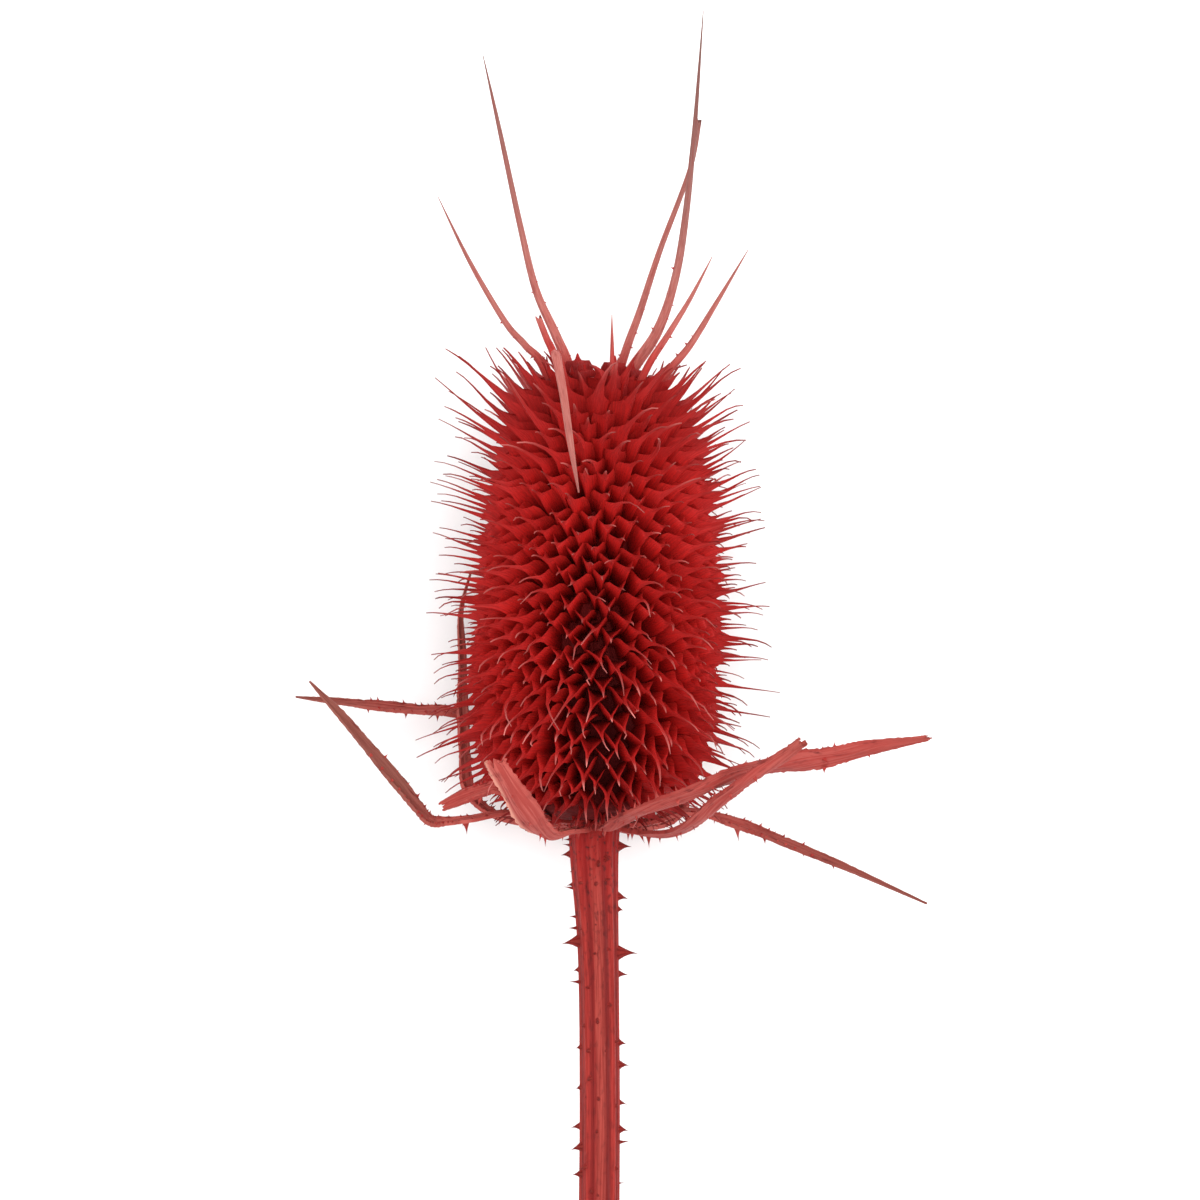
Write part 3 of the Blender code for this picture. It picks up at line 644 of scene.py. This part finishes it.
def scales():
    """All scales as one object, open low on the head and closed above."""
    draw, kinds = random.Random(7), random.Random(8)
    low, high = OPEN_BELOW
    sets = {OPEN_RINGS: [], CLOSED_RINGS: []}
    for share, angle in scale_places():
        kind = OPEN_RINGS if share < kinds.uniform(low, high) else CLOSED_RINGS
        sets[kind].append((scale_placing(share, angle, draw), draw.random(), (1, 1, 1)))
    sets[CLOSED_RINGS] += [(lobe_placing(*lobe), draw.random(), (1, 1, 0.5)) for lobe in APEX_LOBES]
    pieces = []
    for rings, placings in sets.items():
        template = straight_scale(rings)
        made = grown("scales", template, placings, smooth=40)
        # The troughs' marks, for the painted shade inside the boats.
        hollow = [entry.value for entry in template.data.attributes["hollow"].data] * len(placings)
        mark(made.data, "hollow", hollow)
        bpy.data.objects.remove(template)
        pieces.append(made)
    return joined("scales", pieces)


def receptacle():
    """The dark core that the scales grow from, tapered to the stem's top."""
    begin()
    bpy.ops.mesh.primitive_uv_sphere_add(segments=64, ring_count=60, radius=1)
    template = named("receptacle_template")
    shoulders, roots = (np.asarray(table[3:], float) for table in (SHOULDERS, ROOTS))
    profile = (*CORE_FOOT, *(shoulders * (1 - CORE_DEPTH) + roots * CORE_DEPTH))

    def place(co):
        level = math.acos(clamped(-co.z, -1)) / math.pi
        row = along(profile, level)
        spread = math.hypot(co.x, co.y)
        if spread < 1e-6:
            return Vector((row[2], row[1], 0))
        return Vector((row[2] + co.x / spread * row[0], row[1], co.y / spread * row[0]))

    made = grown("receptacle", template, [(place, 0.5, (10, 10, 10))])
    bpy.data.objects.remove(template)
    return made


# Thorns


def thorn_placing(draw, foot, out, heading, height, width, stretch=(1, 1, 1)):
    """A thorn standing out at a foot, its base wide along the heading, with luck of its own."""
    across = heading.cross(out).normalized()

    def place(co):
        lengthwise, through = heading * co.x * width, across * co.y * width * 0.6
        return foot + out * (co.z * height - THORN_SINK) - lengthwise + through

    return place, draw.random(), stretch


def thorny(name, bare, placings, thorn):
    """A bare piece joined with its thorns, whose tips are marked."""
    if not placings:
        return named(name)
    thorns = grown("thorns", thorn, placings, smooth=35)
    heights = [vert.co.z for vert in thorn.data.vertices] * len(placings)
    thorns.data.attributes["tip"].data.foreach_set("value", heights)
    return joined(name, [bare, thorns])


# Crown awns


def crown_awn(key, thorn):
    """One long awn of the crown, with small thorns along its lower part if it is a long one."""
    rows = CROWN_AWNS[key]
    draw = random.Random(key)
    length = path_length(rows)
    blunt = rows[-1][3] > BLUNT_RADIUS
    template = straight_rod("rod", 10, 70)

    def place(co):
        centre, radius, heading, across, up = rod_frame(rows, clamped(co.z))
        turn = math.atan2(co.y, co.x)
        reach = math.hypot(co.x, co.y) * max(radius, 0.05) * (1 + 0.12 * math.cos(3 * turn + co.z * 5))
        torn = heading * math.sin(turn * 2.3) * 0.6 if blunt and co.z > 0.995 else Vector()
        return centre + (across * math.cos(turn) + up * math.sin(turn)) * reach + torn

    bare = grown("bare", template, [(place, draw.random(), (1, 1, length))])
    bpy.data.objects.remove(template)
    placings = []
    share, last = AWN_THORNS
    while share < last and length > THORNY_LENGTH:
        centre, radius, heading, across, up = rod_frame(rows, share)
        turn = draw.choice((0.5, 1.5)) * math.pi + draw.gauss(0, 0.4)
        out = across * math.cos(turn) + up * math.sin(turn)
        size = draw.uniform(*AWN_THORN_SIZES)
        placings.append(thorn_placing(draw, centre + out * radius * 0.9, out, -heading, size, size * 0.9))
        share += draw.uniform(*AWN_THORN_GAPS) / length
    return thorny("crown_awn_" + key, bare, placings, thorn)


# Stem


def stem_reach(turn, y):
    """Share of the stem's radius at an angle: ribs, with lesser ribs between some of them."""
    ribs = abs(math.cos(turn * RIBS / 2)) ** 0.7
    lesser = 0.03 * math.cos(turn * RIBS * 2 + 0.5) + 0.02 * math.cos(turn * 3 + y * 0.05)
    deeper = 0.07 * math.exp(-(((turn - GROOVE) / 0.13) ** 2))
    return 1 - RIB_HEIGHT + RIB_HEIGHT * ribs + lesser - deeper


def stem_at(y):
    """The stem's centre and radius at this height along it."""
    rows = even_rows(STEM)
    heights = [row[1] for row in rows]
    x, z, radius = (np.interp(y, heights, [row[i] for row in rows]) for i in (0, 2, 3))
    return Vector((x, y, z)), float(radius)


def stem_template():
    """A straight rod with rings of faces inset in its ends, for the pith."""
    template = straight_rod("rod", 96, 90)
    bpy.context.view_layer.objects.active = template
    change_mode("EDIT")
    bpy.ops.mesh.select_mode(type="FACE")
    bpy.ops.mesh.select_all(action="DESELECT")
    change_mode("OBJECT")
    for face in template.data.polygons:
        face.select = abs(face.normal.z) > 0.9
    change_mode("EDIT")
    for inset in (0.3, 0.3, 0.2):
        bpy.ops.mesh.inset(thickness=inset)
    change_mode("OBJECT")
    return template


def stem(thorn):
    """The ribbed stem, cut square, with thorns at its edges and along its ribs."""
    draw = random.Random(19)
    template = stem_template()

    def place(co):
        centre, radius, *_ = rod_frame(STEM, clamped(co.z))
        turn = math.atan2(co.y, co.x)
        share = math.hypot(co.x, co.y)
        ribbed = 1 + (stem_reach(turn, centre.y) - 1) * share
        sunk = Vector((0, PITH_DEPTH * (1 - share), 0)) if co.z < 0.001 and share < PITH_SHARE else Vector()
        return centre + Vector((math.cos(turn), 0, math.sin(turn))) * radius * ribbed * share + sunk

    width, length = STEM[0][3], STEM_TOP - STEM_CUT
    bare = grown("bare", template, [(place, 0.5, (width, width, length))], smooth=60)
    bpy.data.objects.remove(template)
    placings = []

    def add_thorn(y, turn, size):
        centre, radius = stem_at(y)
        out = Vector((math.cos(turn), draw.gauss(0, 0.08), math.sin(turn)))
        foot = centre + out * (radius * stem_reach(turn, y) - THORN_SINK)
        lean = Vector((0, draw.choice((1, 1, -0.4)), 0))
        placings.append(thorn_placing(draw, foot, out, lean, size * 1.45, size * 0.7 + 1.2, THORN_GRAIN))

    for side, row in STEM_THORNS.items():
        for y, size in row:
            add_thorn(y, math.acos(side) + draw.gauss(0, 0.12), size + 0.15)
    for rib in range(RIBS):
        turn = 2 * math.pi * rib / RIBS
        if abs(math.cos(turn)) > 0.9:
            continue
        y = STEM_CUT + draw.uniform(1, 8)
        while y < -1.5:
            add_thorn(y, turn + draw.gauss(0, 0.16), draw.uniform(*RIB_THORN_SIZES))
            y += draw.uniform(*RIB_THORN_GAPS)
    return thorny("stem_ribbed", bare, placings, thorn)


# Bracts


def bract(node, thorn):
    """A bract: a strip bent along its path and folded along its middle, with its wall and thorns."""
    spec = BRACTS[node]
    rows, _, torn = spec
    draw = random.Random(node)
    length = path_length(rows)
    cells = int(length * LENGTH_CELLS)
    begin()
    bpy.ops.mesh.primitive_grid_add(x_subdivisions=STRIP_CELLS, y_subdivisions=cells, size=2)
    template = named("strip")
    ragged = [[draw.gauss(0, 0.05) for _ in range(cells + 2)] for _ in range(2)]
    frayed = [draw.uniform(*FRAY) for _ in range(STRIP_CELLS + 2)]

    def place(co):
        share = (co.y + 1) / 2
        centre, half, heading, side, up = blade_frame(spec, share)
        edge = abs(co.x) ** 6 * ragged[int(co.x > 0)][round(share * cells)]
        x = co.x * (1 + edge * 1.2)
        fray = Vector()
        if torn:
            late = max(0, (share - FRAY_START) / (1 - FRAY_START))
            fray = heading * frayed[round((co.x + 1) / 2 * STRIP_CELLS)] * late
        wave = 0.09 * half * math.sin(share * length * 0.5 + co.x * 2.5)
        point = centre + side * x * half + up * (half * BRACT_FOLD * abs(co.x) ** 1.4 + wave) + fray
        return lifted(point, BRACT_THICKNESS)

    bare = grown("bare", template, [(place, DULLNESS_AND_PAINTED_LIGHT[node], (1, 1, 1))])
    bpy.data.objects.remove(template)
    mark_strip(bare, node, length)
    thickened(bare, spec, length)
    placings = bract_thorns(node, length, draw)
    return thorny(node.replace("bract_", "") + "_bract", bare, placings, thorn)


def mark_strip(bare, node, length):
    """Gives a bent strip its grain in millimetres, and marks where it is aged and pale."""
    strip = bare.data.attributes["straight"].data
    grain = [(entry.vector[0] * GRAIN_WIDTH, 0, (entry.vector[1] + 1) / 2 * length) for entry in strip]
    strip.foreach_set("vector", np.ravel(grain))
    start, end, most = AGED.get(node, (0, 1, 0))
    aged = [most * clamped((z - start) / (end - start)) for _, _, z in grain]
    margin = PALE_MARGIN.get(node, 0)
    low, high = PALE_FROM
    pale = [clamped((margin * x - low) / (high - low)) for x, _, _ in grain]
    mark(bare.data, "aged", aged)
    mark(bare.data, "pale", pale)


def share_at(rows, x, first):
    """The share of the way, from a first step of 200, at which a bract comes nearest to this x."""
    return min((i / 200 for i in range(first, 200)), key=lambda at: abs(along(rows, at)[0] - x))


def bract_thorns(node, length, draw):
    """Placings of a bract's large thorns, its spines, and the small thorns on its edges and keel."""
    spec = BRACTS[node]
    placings = []
    for x, size in BRACT_THORNS.get(node, ()):
        centre, half, heading, side, _ = blade_frame(spec, share_at(spec[0], x, 20))
        foot = centre - Vector((0, abs(side.y) * half + 0.1, 0.2))
        out = Vector((draw.gauss(0, 0.15), -1, 0))
        placings.append(thorn_placing(draw, foot, out, -heading, size * 1.5, size * 0.6 + 0.7))
    for x in BRACT_SPINES.get(node, ()):
        centre, half, heading, side, up = blade_frame(spec, share_at(spec[0], x, 2))
        foot = centre + side * math.copysign(half * 0.9, side.y) + up * half * BRACT_FOLD
        out = Vector((draw.gauss(-0.3, 0.2), 1, 0.3)).normalized()
        placings.append(thorn_placing(draw, foot, out, -heading, draw.uniform(*SPINE_LENGTH), SPINE_WIDTH))
    for edge in (-1, 1, 0):
        share = 0.06
        while share < 0.8:
            centre, half, heading, side, up = blade_frame(spec, share)
            if edge:
                foot = centre + side * edge * half * 0.97 + up * half * BRACT_FOLD
                out = (side * edge + up * 0.25).normalized()
            else:
                foot, out = centre - up * BRACT_THICKNESS * 0.85, -up
            size, gap = (draw.uniform(*limits) for limits in (EDGE_THORNS if edge else KEEL_THORNS))
            if half > 0.6:
                placings.append(thorn_placing(draw, foot, out, -heading, size, size * 0.6 + 0.15))
            share += gap / length
    return placings


def thickened(strip, spec, length):
    """Gives a bent strip its wall, thinner towards a pointed tip, on the side away from the inner face."""
    group = strip.vertex_groups.new(name="wall")
    for i, entry in enumerate(strip.data.attributes["straight"].data):
        half = along(spec[0], clamped(entry.vector[2] / length))[3]
        group.add([i], min(1, 0.25 + half * 0.8), "REPLACE")
    _, _, _, _, up = blade_frame(spec, 0.5)
    grain = strip.data.attributes["straight"].data
    middle = min(strip.data.polygons, key=lambda face: abs(grain[face.vertices[0]].vector[2] - length / 2))
    begin()
    bpy.context.view_layer.objects.active = strip
    strip.select_set(True)
    wall = strip.modifiers.new("wall", "SOLIDIFY")
    wall.thickness = BRACT_THICKNESS * MM
    wall.offset = -1 if middle.normal.dot(up) > 0 else 1
    wall.vertex_group = "wall"
    wall.use_even_offset = False
    bpy.ops.object.modifier_apply(modifier="wall")
    outward_and_smooth(strip, 50)


# Finishes


class Wiring:
    """The nodes of one material or group."""

    def __init__(self, tree):
        self.tree = tree

    def add(self, kind, **settings):
        node = self.tree.nodes.new(kind)
        for key, value in settings.items():
            setattr(node, key, value)
        return node

    def join(self, source, target):
        self.tree.links.new(source, target)

    def feed(self, socket, value):
        """Sets a socket to a number or colour, or joins another node's output to it."""
        if isinstance(value, (int, float, tuple)):
            socket.default_value = value
        else:
            self.join(value, socket)

    def sum(self, operation, first, second=None):
        """A Math node's result. Each operand is a socket or a number."""
        node = self.add("ShaderNodeMath", operation=operation)
        self.feed(node.inputs[0], first)
        if second is not None:
            self.feed(node.inputs[1], second)
        return node.outputs[0]

    def vector_sum(self, operation, first, second):
        """A Vector Math node's result, from two sockets."""
        node = self.add("ShaderNodeVectorMath", operation=operation)
        self.join(first, node.inputs[0])
        self.join(second, node.inputs[1])
        return node.outputs[0]

    def mask(self, name):
        """A number that is kept on the mesh."""
        return self.add("ShaderNodeAttribute", attribute_name=name).outputs["Fac"]

    def split(self, vector):
        """A vector's X, Y and Z."""
        node = self.add("ShaderNodeSeparateXYZ")
        self.join(vector, node.inputs[0])
        return node.outputs

    def band(self, value, low, high, to_low=0.0, to_high=1.0):
        """A value's place between two limits, clamped and eased."""
        node = self.add("ShaderNodeMapRange", interpolation_type="SMOOTHSTEP")
        self.join(value, node.inputs["Value"])
        for name, number in zip(("From Min", "From Max", "To Min", "To Max"), (low, high, to_low, to_high)):
            node.inputs[name].default_value = number
        return node.outputs["Result"]

    def ramp(self, value, *stops):
        """A colour from stops, each a place and its colour."""
        node = self.add("ShaderNodeValToRGB")
        self.join(value, node.inputs["Fac"])
        marks = node.color_ramp.elements
        while len(marks) < len(stops):
            marks.new(0.5)
        for mark, (at, colour) in zip(marks, stops):
            mark.position = at
            mark.color = colour
        return node.outputs["Color"]

    def blend(self, share, first, second):
        """Two colours mixed. Each is a socket or a colour, and the share is a socket."""
        node = self.add("ShaderNodeMix", data_type="RGBA")
        for i, value in zip(MIX_SOCKETS, (share, first, second)):
            self.feed(node.inputs[i], value)
        return node.outputs[MIX_RESULT]

    def tint(self, colour, mask, most, other):
        """A colour turned towards another where a mask is, by this share at most."""
        return self.blend(self.sum("MULTIPLY", mask, most), colour, other)


def dry_fibres():
    """Fibres and blotches of dry plant, along Z of the vector that it gets."""
    group = bpy.data.node_groups.new("dry fibres", "ShaderNodeTree")
    face = group.interface
    face.new_socket("Vector", in_out="INPUT", socket_type="NodeSocketVector")
    for name in (*GRAIN_SIZES, "Luck"):
        face.new_socket(name, in_out="INPUT", socket_type="NodeSocketFloat")
    for name in ("Fibres", "Blotches", "Height"):
        face.new_socket(name, in_out="OUTPUT", socket_type="NodeSocketFloat")
    w = Wiring(group)
    given, made = w.add("NodeGroupInput"), w.add("NodeGroupOutput")
    shift = w.add("ShaderNodeCombineXYZ")
    far = w.sum("MULTIPLY", given.outputs["Luck"], 37.0)
    for socket in shift.inputs:
        w.join(far, socket)

    def noise(width, length, detail):
        """Noise as wide and long as two of the group's inputs say, elsewhere for each luck."""
        size = w.add("ShaderNodeCombineXYZ")
        for name, socket in zip((width, width, length), size.inputs):
            w.join(given.outputs[name], socket)
        stretched = w.vector_sum("DIVIDE", given.outputs["Vector"], size.outputs[0])
        texture = w.add("ShaderNodeTexNoise")
        texture.inputs["Scale"].default_value = 1.0
        texture.inputs["Detail"].default_value = detail
        w.join(w.vector_sum("ADD", stretched, shift.outputs[0]), texture.inputs["Vector"])
        return texture.outputs["Fac"]

    fibres = w.band(noise("Fibre Width", "Fibre Length", 3.0), 0.32, 0.68)
    blotches = w.band(noise("Blotch Size", "Blotch Length", 4.0), 0.5, 0.72)
    w.join(fibres, made.inputs["Fibres"])
    w.join(blotches, made.inputs["Blotches"])
    w.join(w.sum("SUBTRACT", fibres, w.sum("MULTIPLY", blotches, 0.4)), made.inputs["Height"])
    return group


def plant_finish(name, fibres, sizes, roughness, relief):
    """A dry plant's material, with its wiring, place on the straight piece, luck and fibres."""
    made = bpy.data.materials.new(name)
    made.use_nodes = True
    w = Wiring(made.node_tree)
    shader = made.node_tree.nodes["Principled BSDF"]
    straight = w.add("ShaderNodeAttribute", attribute_name="straight").outputs["Vector"]
    luck = w.mask("luck")
    grain = w.add("ShaderNodeGroup", node_tree=fibres)
    w.join(straight, grain.inputs["Vector"])
    w.join(luck, grain.inputs["Luck"])
    for socket, size in zip(GRAIN_SIZES, sizes):
        grain.inputs[socket].default_value = size
    bump = w.add("ShaderNodeBump")
    bump.inputs["Distance"].default_value = relief * MM
    bump.inputs["Strength"].default_value = 0.6
    w.join(grain.outputs["Height"], bump.inputs["Height"])
    w.join(bump.outputs["Normal"], shader.inputs["Normal"])
    matt = w.band(grain.outputs["Fibres"], 0, 1, roughness + 0.08, roughness - 0.08)
    w.join(matt, shader.inputs["Roughness"])
    shader.inputs["Specular IOR Level"].default_value = 0.2
    return made, w, w.split(straight), luck, grain.outputs


def painted(made, w, colour):
    """A material with its colour."""
    w.join(colour, made.node_tree.nodes["Principled BSDF"].inputs["Base Color"])
    return made


def in_frame(w):
    """Where a point is in the frame, in metres: its X, Y and Z."""
    return w.split(w.add("ShaderNodeTexCoord").outputs["Object"])


def fibred(w, grain, colour, most, dark):
    """A colour with darker lines between its fibres."""
    return w.blend(w.band(grain["Fibres"], 0, 1, most, 0.0), colour, dark)


def scale_finish(fibres):
    """Maroon in the cells, partly painted shade, full red at the shoulders and along the awns, pale tips on
    the upper side, painted highlights on the edges and painted shade in the boats and at the head's foot.
    """
    sizes = (0.18, 0.5, 0.7, 0.2)
    made, w, straight, luck, grain = plant_finish("dyed scales", fibres, sizes, 0.6, 0.05)
    way = w.sum("MULTIPLY", straight["Z"], 0.5)
    # Darker towards the root: partly the scales' own maroon, partly painted shade deep in the cells.
    colour = w.ramp(
        way, (0.0, srgb(84, 10, 12)), (0.22, srgb(126, 13, 14)), (0.34, srgb(166, 18, 17)),
        (0.45, srgb(188, 26, 23)), (0.56, srgb(184, 33, 31)), (0.8, srgb(160, 38, 35)),
        (1.0, srgb(112, 48, 45)),
    )
    # Painted highlight: the scales' edges, part way up, made lighter red.
    edge = w.sum("MULTIPLY", w.band(w.sum("ABSOLUTE", straight["X"]), 0.9, 1.7), w.band(way, 0.3, 0.48))
    colour = w.tint(colour, edge, 0.4, srgb(208, 50, 42))
    where = in_frame(w)
    colour = w.tint(colour, w.band(where["Y"], 0.02, 0.04), 0.5, srgb(142, 26, 24))
    upper = w.sum("MULTIPLY", w.band(way, 0.72, 1.0), w.band(where["Z"], 0.034, 0.044))
    pale = w.sum("MULTIPLY", upper, w.band(luck, 0.1, 0.9, 0.25, 1.0))
    pale = w.sum("MULTIPLY", pale, w.band(where["Y"], -0.015, 0.005, 1.0, 0.5))
    colour = w.blend(pale, colour, srgb(232, 140, 132))
    # Painted shade: the scales at the head's foot, under the bracts, made darker.
    colour = w.blend(w.band(where["Y"], -0.033, -0.026, 0.6, 0.0), colour, srgb(84, 14, 14))
    # Painted shade: the troughs inside the boats made dark maroon.
    colour = w.blend(w.band(w.mask("hollow"), 0.0, 1.0, 0.0, 0.4), colour, srgb(84, 9, 11))
    colour = fibred(w, grain, colour, 0.4, srgb(112, 10, 11))
    colour = w.blend(w.band(luck, 0, 1, 0.0, 0.22), colour, srgb(142, 18, 18))
    return painted(made, w, colour)


def core_finish(fibres):
    """Maroon, with painted shade darker towards the foot."""
    sizes = (0.8, 0.8, 2.0, 2.0)
    made, w, _, _, grain = plant_finish("dark core", fibres, sizes, 0.85, 0.2)
    colour = w.blend(grain["Fibres"], srgb(98, 13, 14), srgb(128, 17, 17))
    # Painted shade: the core darker lower down, in the deep lower cells.
    colour = w.blend(w.band(in_frame(w)["Y"], 0.006, -0.012, 0.0, 0.7), colour, srgb(80, 13, 14))
    return painted(made, w, colour)


def awn_finish(fibres):
    """Red at the foot, then dusty pink, greyer towards the tip."""
    sizes = (0.22, 3.0, 0.8, 2.6)
    made, w, straight, _, grain = plant_finish("pale awns", fibres, sizes, 0.7, 0.06)
    colour = w.ramp(
        w.sum("DIVIDE", straight["Z"], 64.0), (0.0, srgb(156, 28, 26)), (0.16, srgb(172, 50, 45)),
        (0.3, srgb(174, 98, 90)), (0.6, srgb(158, 98, 90)), (1.0, srgb(112, 84, 78)),
    )
    colour = fibred(w, grain, colour, 0.4, srgb(140, 46, 42))
    colour = w.tint(colour, grain["Blotches"], 0.4, srgb(104, 36, 34))
    return painted(made, w, colour)


def thorn_tips(w):
    """Where a thorn's tip is."""
    return w.band(w.mask("tip"), 0.3, 1.0)


def bract_finish(fibres):
    """Rosy and fibrous, with dark flecks and duller tips."""
    sizes = (0.28, 8.0, 0.6, 2.4)
    made, w, straight, luck, grain = plant_finish("rosy bracts", fibres, sizes, 0.72, 0.1)
    # A bract's luck is its tone from rosy to dull red, partly painted light and shade; its thorns' luck is
    # random.
    colour = w.blend(luck, srgb(206, 104, 94), srgb(146, 56, 50))
    colour = fibred(w, grain, colour, 0.6, srgb(138, 38, 34))
    colour = w.blend(w.mask("aged"), colour, srgb(112, 68, 58))
    colour = w.tint(colour, w.mask("pale"), 0.8, srgb(214, 144, 126))
    colour = w.blend(w.band(straight["Z"], 0, 9, 0.5, 0.0), colour, srgb(150, 28, 25))
    rim = w.band(straight["X"], -0.2, 1.3, 0.35, 0.95)
    colour = w.tint(colour, grain["Blotches"], rim, srgb(92, 22, 22))
    colour = w.tint(colour, thorn_tips(w), 0.7, srgb(108, 32, 30))
    return painted(made, w, colour)


def stem_finish(fibres):
    """Pink ribs and dark grooves with a painted highlight along the top, mottled near the head, with pale
    pith at the cut.
    """
    sizes = (0.26, 7.0, 0.7, 1.3)
    made, w, straight, _, grain = plant_finish("streaked stem", fibres, sizes, 0.7, 0.12)
    turn = w.sum("ARCTAN2", straight["Y"], straight["X"])
    rib = w.sum("ABSOLUTE", w.sum("COSINE", w.sum("MULTIPLY", turn, RIBS / 2)))
    colour = w.blend(w.band(rib, 0.15, 0.95), srgb(118, 21, 18), srgb(150, 39, 32))
    # Painted highlight: a paler band along the stem's top, which faces the camera and the overhead light.
    middle = w.band(w.sum("ABSOLUTE", w.sum("SUBTRACT", turn, 1.5)), 0.34, 0.22)
    colour = w.tint(colour, middle, 0.55, srgb(152, 64, 54))
    groove = w.band(w.sum("ABSOLUTE", w.sum("SUBTRACT", turn, GROOVE)), 0.17, 0.04)
    colour = w.tint(colour, groove, 0.7, srgb(96, 24, 23))
    colour = fibred(w, grain, colour, 0.6, srgb(108, 20, 18))
    colour = w.tint(colour, w.band(straight["Z"], 36, 62), 0.75, srgb(146, 13, 11))
    mottled = w.band(straight["Z"], 20, 60, 0.35, 1.0)
    colour = w.tint(colour, grain["Blotches"], mottled, srgb(66, 8, 9))
    colour = w.tint(colour, thorn_tips(w), 0.8, srgb(104, 44, 42))
    squares = (w.sum("POWER", straight[axis], 2.0) for axis in ("X", "Y"))
    spread = w.sum("SQRT", w.sum("ADD", *squares))
    pith = w.sum("MULTIPLY", w.band(spread, 2.3, 1.7), w.band(straight["Z"], 0.5, 0.1))
    colour = w.blend(pith, colour, srgb(214, 160, 146))
    return painted(made, w, colour)


# Stage


def plain_floor():
    """The pale floor, which is no part of the head."""
    begin()
    bpy.ops.mesh.primitive_plane_add(size=6)
    floor = named("floor")
    finish = bpy.data.materials.new("pale floor")
    finish.use_nodes = True
    surface = finish.node_tree.nodes["Principled BSDF"]
    surface.inputs["Base Color"].default_value = (0.9, 0.9, 0.9, 1)
    surface.inputs["Roughness"].default_value = 0.9
    floor.data.materials.append(finish)


def soft_light(name, at, size, power):
    """An area light that shines on the middle of the head."""
    begin()
    bpy.ops.object.light_add(type="AREA", location=at)
    lamp = bpy.context.object
    lamp.name = name
    lamp.data.size = size
    lamp.data.energy = power
    lamp.rotation_euler = (LIT_POINT - Vector(at)).to_track_quat("-Z", "Y").to_euler()


def studio():
    """Even white light, and colours shown as they are."""
    world = bpy.data.worlds.new("studio")
    world.use_nodes = True
    world.node_tree.nodes["Background"].inputs["Color"].default_value = (1, 1, 1, 1)
    world.node_tree.nodes["Background"].inputs["Strength"].default_value = 1.0
    bpy.context.scene.world = world
    bpy.context.scene.view_settings.view_transform = "Standard"
    for name, (at, size, power) in LIGHTS.items():
        soft_light(name, at, size, power)


def camera():
    """The photograph's view, straight down."""
    begin()
    at = (MEETING_POINT + VIEW_MIDDLE + Vector((0, 0, CAMERA_DISTANCE))) * MM
    bpy.ops.object.camera_add(location=at, rotation=(0, 0, 0))
    made = bpy.context.object
    made.name = "camera"
    made.data.sensor_width = SENSOR
    made.data.lens = SENSOR * CAMERA_DISTANCE / FRAME_WIDTH
    made.data.clip_start = 0.05
    bpy.context.scene.camera = made


def main():
    """Builds every piece over the frame, then the floor and the light."""
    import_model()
    camera()
    fibres = dry_fibres()
    awn_pale, bract_rosy = awn_finish(fibres), bract_finish(fibres)
    thorn = straight_thorn()
    fitted(scales(), scale_finish(fibres), "head", "head")
    fitted(receptacle(), core_finish(fibres), "head")
    for key in CROWN_AWNS:
        fitted(crown_awn(key, thorn), awn_pale, "head")
    fitted(stem(thorn), stem_finish(fibres), "stem", "stem")
    for node in BRACTS:
        fitted(bract(node, thorn), bract_rosy, "bract", node)
    bpy.data.objects.remove(thorn)
    plain_floor()
    studio()


main()
